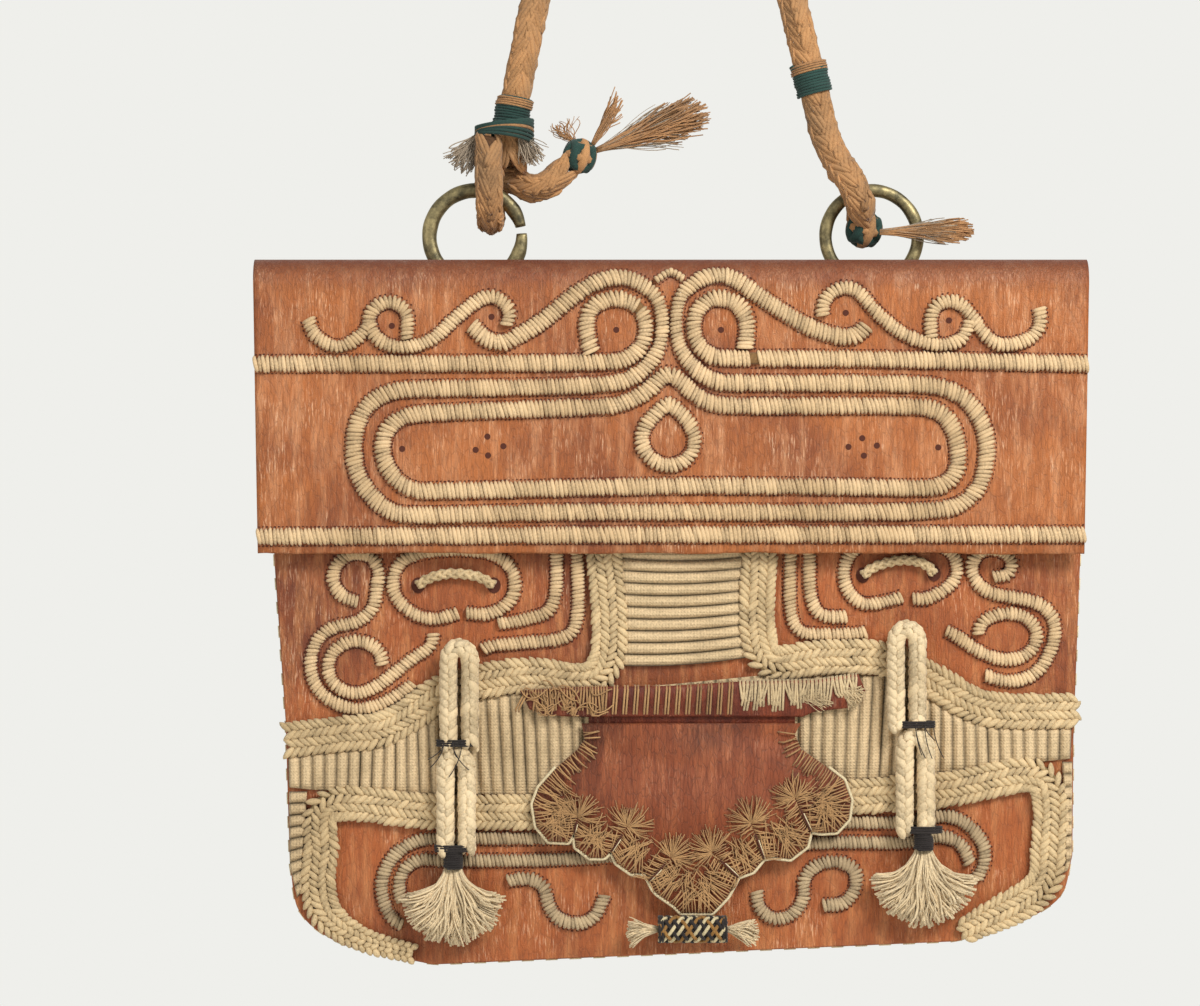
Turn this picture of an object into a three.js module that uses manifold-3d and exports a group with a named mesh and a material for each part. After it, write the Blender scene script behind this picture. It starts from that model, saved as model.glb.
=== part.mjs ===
// A flat leather shoulder bag with couched cord embroidery, plaited bands, corded panels,
// two hanging cord pendants and a plaited rope strap that runs over a peg.
// Millimetres, +Z up, the front faces -Y. The origin is where the top of the strap bears on its peg.
import * as THREE from 'three';
import { mergeVertices } from 'three/addons/utils/BufferGeometryUtils.js';
import Module from 'manifold-3d';

const wasm = await Module();
wasm.setup();

// Clearance between touching pieces
const gap = 0.3;

// Bag body: width and drop of the front, and the depth over both panels
const bagWidth = 270;
const bagDrop = 237;
const bagDepth = 20;
const panelThickness = 2.5;
const gussetThickness = 2.2;
const mouthDrop = 2.8;

// Flap: the width, the drop at the front, the thickness and the radius of its top fold
const flapWidth = 279;
const flapDrop = 98.5;
const flapThickness = 2.5;
const flapFoldRadius = 9;
const flapTaper = 0.012;
const flapStandOff = 5.5;

// Raised work: widths and heights of the cords, plaits and ribs
const couchedWidth = 5.5;
const couchedHeight = 2.3;
const vineWidth = 4.4;
const frontCordWidth = 4.2;
const frontCordHeight = 2.0;
const barCordWidth = 4.0;
const barCordHeight = 3.3;
const plaitWidth = 10.8;
const plaitHeight = 2.9;
const plaitColumns = 4;
const ribPitch = 4.0;
const ribHeight = 2.2;
const ribBase = 0.6;

// Rings: radius at the middle of the bar, and the two bar thicknesses
const ringRadius = 15.8;
const ringBarLeft = 5.0;
const ringBarRight = 4.3;
const ringSplit = 2.4;
const ringLeftX = -66.3;
const ringRightX = 69.3;
const ringCentreZ = 9.5;

// Ring tabs: a folded leather loop round the bottom of each ring
const tabWidth = 8;
const tabThickness = 1.8;
const tabLength = 26;
const tabClearance = 1.0;

// Strap: rope thickness, its stopper knots and its bound collars
const ropeDiameter = 11;
const hitchDiameter = 10.4;
const ropeSides = 8;
const ropeSteps = 46;
const hitchSteps = 24;
const whippingLength = 10;
const whippingWall = 1;
const knotRadiusLeft = 6.5;
const knotRadiusRight = 6.9;
const strapRise = 216.8;
const pegX = -4.1;

// Pendants: cord thickness, lengths of the two pairs of cords and the tassel
const pendantCord = 6.2;
const pendantSlit = 0.9;
const pendantUpperLength = 35.5;
const pendantLowerLength = 34.5;
const pendantBindLength = 6;
const tasselLength = 28;
const tasselWidth = 39;
const tasselDepth = 11;

// Tag: thickness of its leather and height of the threads over its scallops
const tagThickness = 2;
const tagThreadHeight = 1.2;
const tagStripHeight = 2.6;
const toggleLength = 22.6;
const toggleRadius = 4.9;
const tuftLength = 11;

// Places worked out from the sizes above
const backY = bagDepth / 2;
const frontY = -bagDepth / 2;
const flapInnerY = frontY - flapStandOff;
const flapOuterY = flapInnerY - flapThickness;
const ringY = backY + gap + tabThickness + tabClearance + ringBarLeft / 2 + 0.5;
const tabPivotZ = ringCentreZ - ringRadius;

// The raised work was laid out on a front and a flap of these sizes
const drawn = { frontWidth: 270, frontDrop: 237, flapWidth: 279, flapDrop: 98.5 };

const colour = {
  leather: '#b9652f',
  leatherDark: '#8c3f1e',
  cord: '#cdb98c',
  cordPale: '#d9cba6',
  rib: '#cbbb97',
  rope: '#b0803f',
  greenThread: '#2d4741',
  brass: '#5d553c',
  tagThread: '#9b6a3c',
  toggle: '#5a5040',
  blackThread: '#2a2422',
};

const group = new THREE.Group();
const bag = new THREE.Group();
bag.position.set(-pegX, -ringY, ropeDiameter / 2 - strapRise);
group.add(bag);

function addPiece(name, geometry, tint, roughness = 0.8, metalness = 0) {
  const material = new THREE.MeshStandardMaterial({ color: tint, roughness, metalness });
  const mesh = new THREE.Mesh(geometry, material);
  mesh.name = name;
  bag.add(mesh);
  return mesh;
}

// Solids for joining and cutting

function toSolid(geometry) {
  const plain = geometry.clone();
  plain.deleteAttribute('normal');
  plain.deleteAttribute('uv');
  const merged = mergeVertices(plain, 1e-4);
  return new wasm.Manifold(new wasm.Mesh({
    numProp: 3,
    vertProperties: new Float32Array(merged.attributes.position.array),
    triVerts: new Uint32Array(merged.index.array),
  }));
}

function toGeometry(solid) {
  const mesh = solid.simplify(0.05).getMesh();
  const geometry = new THREE.BufferGeometry();
  geometry.setAttribute('position', new THREE.BufferAttribute(new Float32Array(mesh.vertProperties), 3));
  geometry.setIndex(new THREE.BufferAttribute(new Uint32Array(mesh.triVerts), 1));
  geometry.computeVertexNormals();
  return geometry;
}

function largestPart(solid) {
  return solid.decompose().sort((a, b) => b.volume() - a.volume())[0];
}

function signedVolume(positions, indices) {
  const a = new THREE.Vector3();
  const b = new THREE.Vector3();
  const c = new THREE.Vector3();
  let sum = 0;
  for (let i = 0; i < indices.length; i += 3) {
    a.fromArray(positions, 3 * indices[i]);
    b.fromArray(positions, 3 * indices[i + 1]);
    c.fromArray(positions, 3 * indices[i + 2]);
    sum += a.dot(b.cross(c));
  }
  return sum / 6;
}

function closedGeometry(positions, indices) {
  if (signedVolume(positions, indices) < 0) {
    indices.reverse();
  }
  const geometry = new THREE.BufferGeometry();
  geometry.setAttribute('position', new THREE.Float32BufferAttribute(positions, 3));
  geometry.setIndex(indices);
  geometry.computeVertexNormals();
  return geometry;
}

// Points along a line in the plane of the front, as [x, z]

function curveThrough(points, perSpan = 1) {
  return new THREE.SplineCurve(points.map(([x, z]) => new THREE.Vector2(x, z)))
    .getPoints(perSpan * (points.length - 1))
    .map((p) => [p.x, p.y]);
}

function outlineShape(points) {
  return new THREE.Shape(points.map(([x, z]) => new THREE.Vector2(x, z)));
}

// A plate whose outline lies in the XZ plane, from one depth to another
function plate(points, nearY, farY) {
  const geometry = new THREE.ExtrudeGeometry(outlineShape(points), {
    depth: Math.abs(farY - nearY),
    bevelEnabled: false,
  });
  geometry.rotateX(Math.PI / 2);
  geometry.translate(0, Math.max(nearY, farY), 0);
  return geometry;
}

// The offset directions at each point of a line, lengthened where it turns
function offsets(line, closed) {
  const count = line.length;
  return line.map((point, i) => {
    const before = closed ? line[(i + count - 1) % count] : line[Math.max(i - 1, 0)];
    const after = closed ? line[(i + 1) % count] : line[Math.min(i + 1, count - 1)];
    const inX = point[0] - before[0];
    const inZ = point[1] - before[1];
    const outX = after[0] - point[0];
    const outZ = after[1] - point[1];
    const inLength = Math.hypot(inX, inZ) || 1;
    const outLength = Math.hypot(outX, outZ) || 1;
    let first = [-inZ / inLength, inX / inLength];
    let second = [-outZ / outLength, outX / outLength];
    if (!closed && i === 0) first = second;
    if (!closed && i === count - 1) second = first;
    const scale = 1 / (1 + first[0] * second[0] + first[1] * second[1]);
    return [(first[0] + second[0]) * scale, (first[1] + second[1]) * scale];
  });
}

// A raised band: a section of [across, height] points carried along a line and set on a surface
function sweepBand(line, section, surface, { closed = false, widthAt = () => 1 } = {}) {
  const across = offsets(line, closed);
  const positions = [];
  line.forEach(([x, z], i) => {
    const factor = widthAt(x, z);
    section.forEach(([u, h]) => {
      positions.push(...surface(x + across[i][0] * u * factor, z + across[i][1] * u * factor, h));
    });
  });
  const sides = section.length;
  const rows = line.length;
  const indices = [];
  for (let i = 0; i < (closed ? rows : rows - 1); i += 1) {
    const next = (i + 1) % rows;
    for (let j = 0; j < sides; j += 1) {
      const k = (j + 1) % sides;
      indices.push(i * sides + j, i * sides + k, next * sides + k);
      indices.push(i * sides + j, next * sides + k, next * sides + j);
    }
  }
  if (!closed) {
    const outline = section.map(([u, h]) => new THREE.Vector2(u, h));
    const last = (rows - 1) * sides;
    for (const [a, b, c] of THREE.ShapeUtils.triangulateShape(outline, [])) {
      indices.push(c, b, a);
      indices.push(last + a, last + b, last + c);
    }
  }
  return closedGeometry(positions, indices);
}

// Sections: a rounded cord, and a flat plait with a ridge for each column of lobes

function cordSection(width, height) {
  const half = width / 2;
  return [[-half, 0], [half, 0], [0.72 * half, 0.75 * height], [0, height], [-0.72 * half, 0.75 * height]];
}

function plaitSection(width, height, columns) {
  const section = [[-width / 2, 0], [width / 2, 0]];
  const column = width / columns;
  for (let i = columns - 1; i >= 0; i -= 1) {
    const left = -width / 2 + i * column;
    section.push([left + 0.75 * column, height]);
    section.push([left + 0.25 * column, height]);
    if (i > 0) section.push([left, 0.72 * height]);
  }
  return section;
}

// Surfaces: the flat front of the bag, and the flap with its rounded top fold

function onFront(x, z, h) {
  return [x, frontY - gap - h, z];
}

function flapScale(z) {
  return 1 + (flapTaper * z) / flapDrop;
}

// A stiff cord bridges the fold, so it stands off by the bow of the fold across its width
const foldBow = couchedWidth ** 2 / (6 * flapFoldRadius);

function onFlap(x, z, h) {
  const bridging = THREE.MathUtils.smoothstep(z, -flapFoldRadius - couchedWidth, -flapFoldRadius + 1);
  const lift = gap + h + foldBow * bridging;
  const reach = Math.min(Math.max((z + flapFoldRadius) / flapFoldRadius, 0), 0.97);
  const angle = Math.asin(reach);
  const y = flapOuterY + flapFoldRadius * (1 - Math.cos(angle)) - lift * Math.cos(angle);
  return [x, y, z + lift * Math.sin(angle)];
}

const frontLayout = (points) => points.map(([x, z]) => [
  (x * bagWidth) / drawn.frontWidth,
  (z * bagDrop) / drawn.frontDrop,
]);

const flapLayout = (points) => points.map(([x, z]) => [
  (x * flapWidth * flapScale(z)) / drawn.flapWidth,
  (z * flapDrop) / drawn.flapDrop,
]);

// Bag body: two panels and the gusset between them, open at the top

const sideLeft = frontLayout([[-133.5, 0], [-133, -101], [-129.2, -155], [-127.8, -203]]);
const cornerLeft = frontLayout(curveThrough([[-127.8, -203], [-124.5, -219], [-112, -229], [-80, -236.6]], 2));
const cornerRight = frontLayout(curveThrough([[96, -228.8], [118, -222], [131, -213.5], [134.8, -200]], 2));
const sideRight = frontLayout([[135.2, -160], [137.5, -99], [137, 0]]);
sideLeft[0][1] = -mouthDrop;
sideRight[sideRight.length - 1][1] = -mouthDrop;
const bagOutline = [...sideLeft, ...cornerLeft.slice(1), ...cornerRight, ...sideRight];

addPiece('back_panel', plate(bagOutline, backY - panelThickness, backY), colour.leather, 0.6);
addPiece('front_panel', plate(bagOutline, frontY, frontY + panelThickness), colour.leather, 0.6);

const gussetHalf = backY - panelThickness - gap;
const gussetSection = [[0, -gussetHalf], [gussetThickness, -gussetHalf], [gussetThickness, gussetHalf],
  [0, gussetHalf]];
addPiece('gusset', sweepBand(bagOutline, gussetSection, (x, z, h) => [x, h, z]), colour.leatherDark, 0.7);

// Rings and the leather tabs that hold them to the back

function barSection(thickness) {
  const half = thickness / 2;
  const bevel = half * 0.42;
  return [[-half, -bevel], [-bevel, -half], [bevel, -half], [half, -bevel],
    [half, bevel], [bevel, half], [-bevel, half], [-half, bevel]];
}

class ArcCurve extends THREE.Curve {
  constructor(radius, start, sweep) {
    super();
    this.radius = radius;
    this.start = start;
    this.sweep = sweep;
  }

  getPoint(t, target = new THREE.Vector3()) {
    const angle = this.start + this.sweep * t;
    return target.set(this.radius * Math.cos(angle), 0, this.radius * Math.sin(angle));
  }
}

const splitAngle = THREE.MathUtils.degToRad(8);
const splitSweep = 2 * Math.PI - ringSplit / ringRadius;
const ringLeft = new THREE.ExtrudeGeometry(outlineShape(barSection(ringBarLeft)), {
  steps: 32,
  bevelEnabled: false,
  extrudePath: new ArcCurve(ringRadius, splitAngle + ringSplit / ringRadius / 2, splitSweep),
});
addPiece('ring_left', ringLeft, colour.brass, 0.5, 0.8).position.set(ringLeftX, ringY, ringCentreZ);

const ringProfile = barSection(ringBarRight).map(([u, v]) => new THREE.Vector2(ringRadius + u, v));
ringProfile.push(ringProfile[0].clone());
const ringRight = new THREE.LatheGeometry(ringProfile, 32);
addPiece('ring_right', ringRight, colour.brass, 0.5, 0.8).position.set(ringRightX, ringY, ringCentreZ);

function tabGeometry() {
  const hole = ringBarLeft / 2 + tabClearance;
  const outer = hole + tabThickness;
  const legY = backY + gap;
  const shape = new THREE.Shape();
  shape.moveTo(legY, tabPivotZ - tabLength);
  shape.lineTo(legY + 2 * tabThickness, tabPivotZ - tabLength);
  shape.lineTo(legY + 2 * tabThickness, tabPivotZ - 2.2 * outer);
  shape.lineTo(ringY + outer, tabPivotZ);
  shape.absarc(ringY, tabPivotZ, outer, 0, Math.PI, false);
  shape.lineTo(legY, tabPivotZ - outer);
  shape.closePath();
  const eye = new THREE.Path();
  eye.absarc(ringY, tabPivotZ, hole, 0, 2 * Math.PI, true);
  shape.holes.push(eye);
  const geometry = new THREE.ExtrudeGeometry(shape, { depth: tabWidth, bevelEnabled: false, curveSegments: 8 });
  geometry.rotateY(Math.PI / 2);
  geometry.rotateX(Math.PI / 2);
  return geometry;
}

for (const [side, x] of [['left', ringLeftX], ['right', ringRightX]]) {
  addPiece(`ring_tab_${side}`, tabGeometry(), colour.leatherDark, 0.7).position.set(x - tabWidth / 2, 0, 0);
}

// Flap: one piece of leather from the top back edge, folded over the top and down the front

function flapGeometry() {
  const shape = new THREE.Shape();
  const innerRadius = flapFoldRadius - flapThickness;
  shape.moveTo(backY, 0);
  shape.lineTo(backY, -flapThickness);
  shape.lineTo(flapInnerY + innerRadius, -flapThickness);
  shape.absarc(flapInnerY + innerRadius, -flapFoldRadius, innerRadius, Math.PI / 2, Math.PI, false);
  shape.lineTo(flapInnerY, -flapDrop);
  shape.lineTo(flapOuterY, -flapDrop);
  shape.lineTo(flapOuterY, -flapFoldRadius);
  shape.absarc(flapOuterY + flapFoldRadius, -flapFoldRadius, flapFoldRadius, Math.PI, Math.PI / 2, true);
  shape.closePath();
  const geometry = new THREE.ExtrudeGeometry(shape, { depth: flapWidth, bevelEnabled: false, curveSegments: 7 });
  geometry.rotateY(Math.PI / 2);
  geometry.rotateX(Math.PI / 2);
  geometry.translate(-flapWidth / 2, 0, 0);
  const position = geometry.attributes.position;
  for (let i = 0; i < position.count; i += 1) {
    position.setX(i, position.getX(i) * flapScale(position.getZ(i)));
  }
  geometry.computeVertexNormals();
  return geometry;
}

addPiece('flap_leather', flapGeometry(), colour.leather, 0.6);

// Couched cords on the flap

const flapEdge = 138.9;

// The two inner volutes squeeze together at the middle of the flap
function volutePinch(x, z) {
  const near = Math.exp(-(((x + 0.6) / 9) ** 2));
  const high = THREE.MathUtils.smoothstep(z, -36, -29);
  return 1 - 0.22 * near * high;
}

function flapCord(points, { width = couchedWidth, height = couchedHeight, base = 0, ...options } = {}) {
  const section = cordSection(width, height).map(([u, h]) => [u, Math.max(h, base)]);
  return sweepBand(flapLayout(points), section, onFlap, options);
}

const upperLeft = [[-flapEdge, -35.4], ...curveThrough([[-22, -34.7], [-16.5, -34.2], [-11.7, -31.5],
  [-9, -27.4], [-8.6, -21.3], [-11, -16.5], [-16.5, -13.7], [-21.9, -14.1], [-26.7, -16.9], [-28.2, -21.3],
  [-27.9, -26], [-26.9, -31.1]])];
const upperRight = [[flapEdge, -35.3], [63, -33.7], ...curveThrough([[19, -33.4], [14.6, -33.1],
  [10.9, -31], [8.2, -27], [7.6, -21.3], [9.4, -16.7], [13.5, -13.7], [17.6, -13.5], [22.3, -15.5],
  [25, -19.9], [25.4, -24.7], [24.7, -29.8]])];
addPiece('flap_cord_upper_left', flapCord(upperLeft, { widthAt: volutePinch }), colour.cord, 0.85);
addPiece('flap_cord_upper_right', flapCord(upperRight, { widthAt: volutePinch }), colour.cord, 0.85);

const outerCord = [
  ...curveThrough([[-66.3, -22.7], [-62.1, -26.9], [-56.3, -28.3], [-51.3, -26.1], [-43.7, -21.6],
    [-36.9, -16.2], [-31.4, -11.8], [-26, -8.7], [-20.5, -6.9], [-15.1, -6.7], [-9.7, -8.9], [-4.9, -13.1],
    [-3.1, -19.2], [-3.1, -26], [-4.8, -31.5], [-7.9, -35.9], [-11.9, -39.2], [-17, -41.4]]),
  ...curveThrough([[-80, -43.6], [-89, -43.9], [-95.4, -45.2], [-101.2, -48.8], [-104.8, -54],
    [-106.5, -62], [-105.9, -70.3], [-103.3, -76.1], [-96.8, -83.1], [-91.8, -85.3], [-84, -85.7]]),
  [-37, -84.8], [63, -84.8],
  ...curveThrough([[86.7, -84.2], [95.3, -83], [100.2, -80.1], [103.9, -75.4], [106, -66], [105.1, -57.3],
    [102.1, -51.1], [97.8, -46.4], [92.2, -43.7], [86.7, -42.5]]),
  ...curveThrough([[20, -41.7], [16.2, -41.5], [11, -39.3], [6.3, -35.2], [2.9, -29.8], [1.7, -24],
    [1.9, -17.9], [3.5, -12.4], [7.4, -8.7], [12.1, -6.4], [17.6, -6.0], [22.3, -7.7], [27.1, -11.1],
    [36.6, -17.5], [46.8, -23.3], [55.8, -26.1], [60.8, -26.2], [65, -23.2]]),
];
addPiece('flap_cord_outer', flapCord(outerCord, { widthAt: volutePinch }), colour.cord, 0.85);

const innerCord = [
  [-0.7, -38.9],
  ...curveThrough([[-8.3, -44.6], [-13.7, -47.5], [-19.9, -49.3], [-27, -49.7]]),
  ...curveThrough([[-80, -51.7], [-86, -52.2], [-91, -53.6], [-95.2, -57.2], [-96.9, -62.5], [-96.2, -68],
    [-93.6, -72.5], [-90, -75.9], [-85.3, -77.6], [-79, -77.7]]),
  [-37, -76.8], [4, -76], [63, -76.4],
  ...curveThrough([[84, -76.7], [89, -76.4], [93.4, -74.4], [96, -70.6], [96.4, -65], [94.8, -57.3],
    [91.6, -52.6], [87, -50.2], [80, -49.5]]),
  ...curveThrough([[22, -49.3], [15.5, -48.9], [10.8, -47.4], [6.9, -44.6]]),
];
addPiece('flap_cord_inner', flapCord(innerCord, { closed: true }), colour.cord, 0.85);

const vineTurns = {
  left: [
    [[-55, -22], [-53.8, -19], [-54.9, -16], [-59.2, -12.9], [-63.6, -13.8], [-72.2, -20.3], [-80, -27.2],
      [-88.9, -29.7], [-94.7, -29], [-99, -26.1], [-100.8, -21.8]],
    [[-88.4, -26.5], [-88, -21.8], [-88.9, -17.4], [-93.2, -14.7], [-97.5, -15.6], [-100.4, -18.5],
      [-101.6, -23.2], [-107.7, -28.6], [-112, -29.6], [-116.3, -27.9], [-119.6, -25], [-121, -20.8]],
  ],
  right: [
    [[50.6, -18.8], [50.6, -16], [52.7, -12.2], [57.7, -9.9], [62, -11], [68.8, -18.4], [78, -25.5],
      [87.9, -28.8], [92.8, -28.8], [97.1, -26.9], [99.9, -21.5]],
    [[87, -26], [86.7, -20.3], [88.5, -15.9], [92.8, -14.4], [96.5, -15.3], [99.6, -18.4], [105.1, -25.8],
      [108.8, -28.6], [113.2, -28.9], [118.1, -27.7], [121.8, -25.2], [123.4, -21.5], [123, -17.2]],
  ],
};
for (const [side, turns] of Object.entries(vineTurns)) {
  // The second turn is a little thinner where it crosses the first
  const [first, second] = turns.map((points, i) => toSolid(flapCord(curveThrough(points), {
    width: vineWidth,
    height: couchedHeight - 0.27 * i,
    base: 0.15 * i,
  })));
  addPiece(`flap_vine_${side}`, toGeometry(first.add(second)), colour.cord, 0.85);
}

const teardrop = [[-0.8, -48.9], ...curveThrough([[-5.6, -52.4], [-8.8, -56.2], [-9.9, -61], [-8.2, -65.4],
  [-4.8, -68.2], [-1, -69.2], [3.2, -68.4], [6.8, -65.2], [7.9, -60.6], [6.6, -56], [4, -52.6]])];
addPiece('flap_teardrop', flapCord(teardrop, { width: 4.8, closed: true }), colour.cord, 0.85);
addPiece('flap_peak', flapCord([[-4.8, -7.4], [0, -5], [3.7, -6.9]], { width: 3 }), colour.cord, 0.85);
addPiece('flap_cord_lower', flapCord([[-flapEdge, -92.9], [10, -92.2], [flapEdge, -92.2]]), colour.cord, 0.85);

// Plaits that frame the front, laid first because the ribbed panels are cut round them

function plaitSolid(points, { grow = 0, widthAt } = {}) {
  const section = grow > 0
    ? [[-plaitWidth / 2 - grow, -1], [plaitWidth / 2 + grow, -1], [plaitWidth / 2 + grow, 2 * plaitHeight],
      [-plaitWidth / 2 - grow, 2 * plaitHeight]]
    : plaitSection(plaitWidth, plaitHeight, plaitColumns);
  return toSolid(sweepBand(frontLayout(points), section, onFront, { widthAt }));
}

// The lower plait narrows towards its two tips
function lowerPlaitWidth(x, z) {
  return 1 - 0.45 * THREE.MathUtils.smoothstep(-z, 218, 232);
}

const upperEnd = -80;
const plaitLines = {
  upper_left: {
    line: [[-128.4, -161.1], [-110, -158.9], [-97, -157.6], [-87, -152.4], [-77, -145.2], [-64, -141.4],
      [-48, -139.4], [-23.9, -139], [-23.9, upperEnd]],
  },
  upper_right: {
    line: [[30.6, upperEnd], [32.2, -133.8], [50, -133.5], [73, -134.2], [88, -141.5], [101, -149],
      [110, -151.2], [134.4, -151.2]],
  },
  lower: {
    line: [[-86.5, -232.6], ...curveThrough([[-104, -227.6], [-115.4, -219.6], [-118.2, -209], [-117.2, -199]]),
      [-115.8, -184], [-80.7, -185], [-45, -185.2], [0, -183.6], [60, -180.2], [91, -177.8], [124.4, -174.4],
      ...curveThrough([[126.4, -199], [124.8, -209], [117, -215.6], [107, -220.6], [99, -224.8]])],
    widthAt: lowerPlaitWidth,
  },
};
for (const [place, { line, widthAt }] of Object.entries(plaitLines)) {
  addPiece(`plait_${place}`, toGeometry(plaitSolid(line, { widthAt })), colour.cordPale, 0.85);
}
const plaitRoom = Object.values(plaitLines).map(({ line, widthAt }) => plaitSolid(line, { grow: gap, widthAt }));

// Ribbed panels: cords laid side by side, so the plate's face is a row of rounded ribs

function ribProfile(from, to, pitch) {
  const profile = [];
  const count = Math.max(1, Math.round((to - from) / pitch));
  const step = (to - from) / count;
  for (let i = 0; i < count; i += 1) {
    const start = from + i * step;
    profile.push([start, ribBase], [start + 0.28 * step, ribBase + ribHeight]);
    profile.push([start + 0.72 * step, ribBase + ribHeight]);
  }
  profile.push([to, ribBase], [to, 0], [from, 0]);
  return profile.reverse();
}

function ribbedPlate(points, upright) {
  const placed = frontLayout(points);
  const along = placed.map(([x, z]) => (upright ? x : z));
  const acrossIt = placed.map(([x, z]) => (upright ? z : x));
  const profile = ribProfile(Math.min(...along), Math.max(...along), ribPitch);
  const ends = [Math.min(...acrossIt), Math.max(...acrossIt)];
  const positions = [];
  for (const end of ends) {
    for (const [place, height] of profile) {
      positions.push(...(upright ? onFront(place, end, height) : onFront(end, place, height)));
    }
  }
  const count = profile.length;
  const indices = [];
  for (let j = 0; j < count; j += 1) {
    const k = (j + 1) % count;
    indices.push(j, k, count + k, j, count + k, count + j);
  }
  const outline = profile.map(([u, h]) => new THREE.Vector2(u, h));
  for (const [a, b, c] of THREE.ShapeUtils.triangulateShape(outline, [])) {
    indices.push(a, c, b, count + a, count + b, count + c);
  }
  let solid = toSolid(closedGeometry(positions, indices));
  solid = solid.intersect(toSolid(plate(placed, frontY + 1, frontY - gap - 2 * ribHeight - 2)));
  for (const room of plaitRoom) {
    solid = solid.subtract(room);
  }
  return toGeometry(largestPart(solid));
}

const ribsCentre = [[-19, upperEnd], [26, upperEnd], [28, -133], [20, -137.6], [5, -139.6], [-19, -136.8]];
const ribsLower = [[-128.4, -164], [-60, -143], [-24, -141], [5, -141], [33, -136], [75, -136],
  [134.6, -153], [134.6, -167.6], [128, -167.6], [122, -180], [-112, -188], [-112, -177.6],
  [-128.1, -177.6]];
const ribsSideLeft = [[-128, -178.2], [-118, -178.2], [-118, -216], [-124.8, -216], [-127.4, -203]];
const ribsSideRight = [[134.7, -168.2], [134.5, -200], [132.6, -206], [126, -206], [126, -168.2]];
addPiece('ribs_centre', ribbedPlate(ribsCentre, false), colour.rib, 0.9);
addPiece('ribs_lower', ribbedPlate(ribsLower, true), colour.rib, 0.9);
addPiece('ribs_side_left', ribbedPlate(ribsSideLeft, false), colour.rib, 0.9);
addPiece('ribs_side_right', ribbedPlate(ribsSideRight, false), colour.rib, 0.9);

// Couched cords on the front

function frontCord(points, width = frontCordWidth, height = frontCordHeight) {
  return sweepBand(frontLayout(points), cordSection(width, height), onFront);
}

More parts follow.
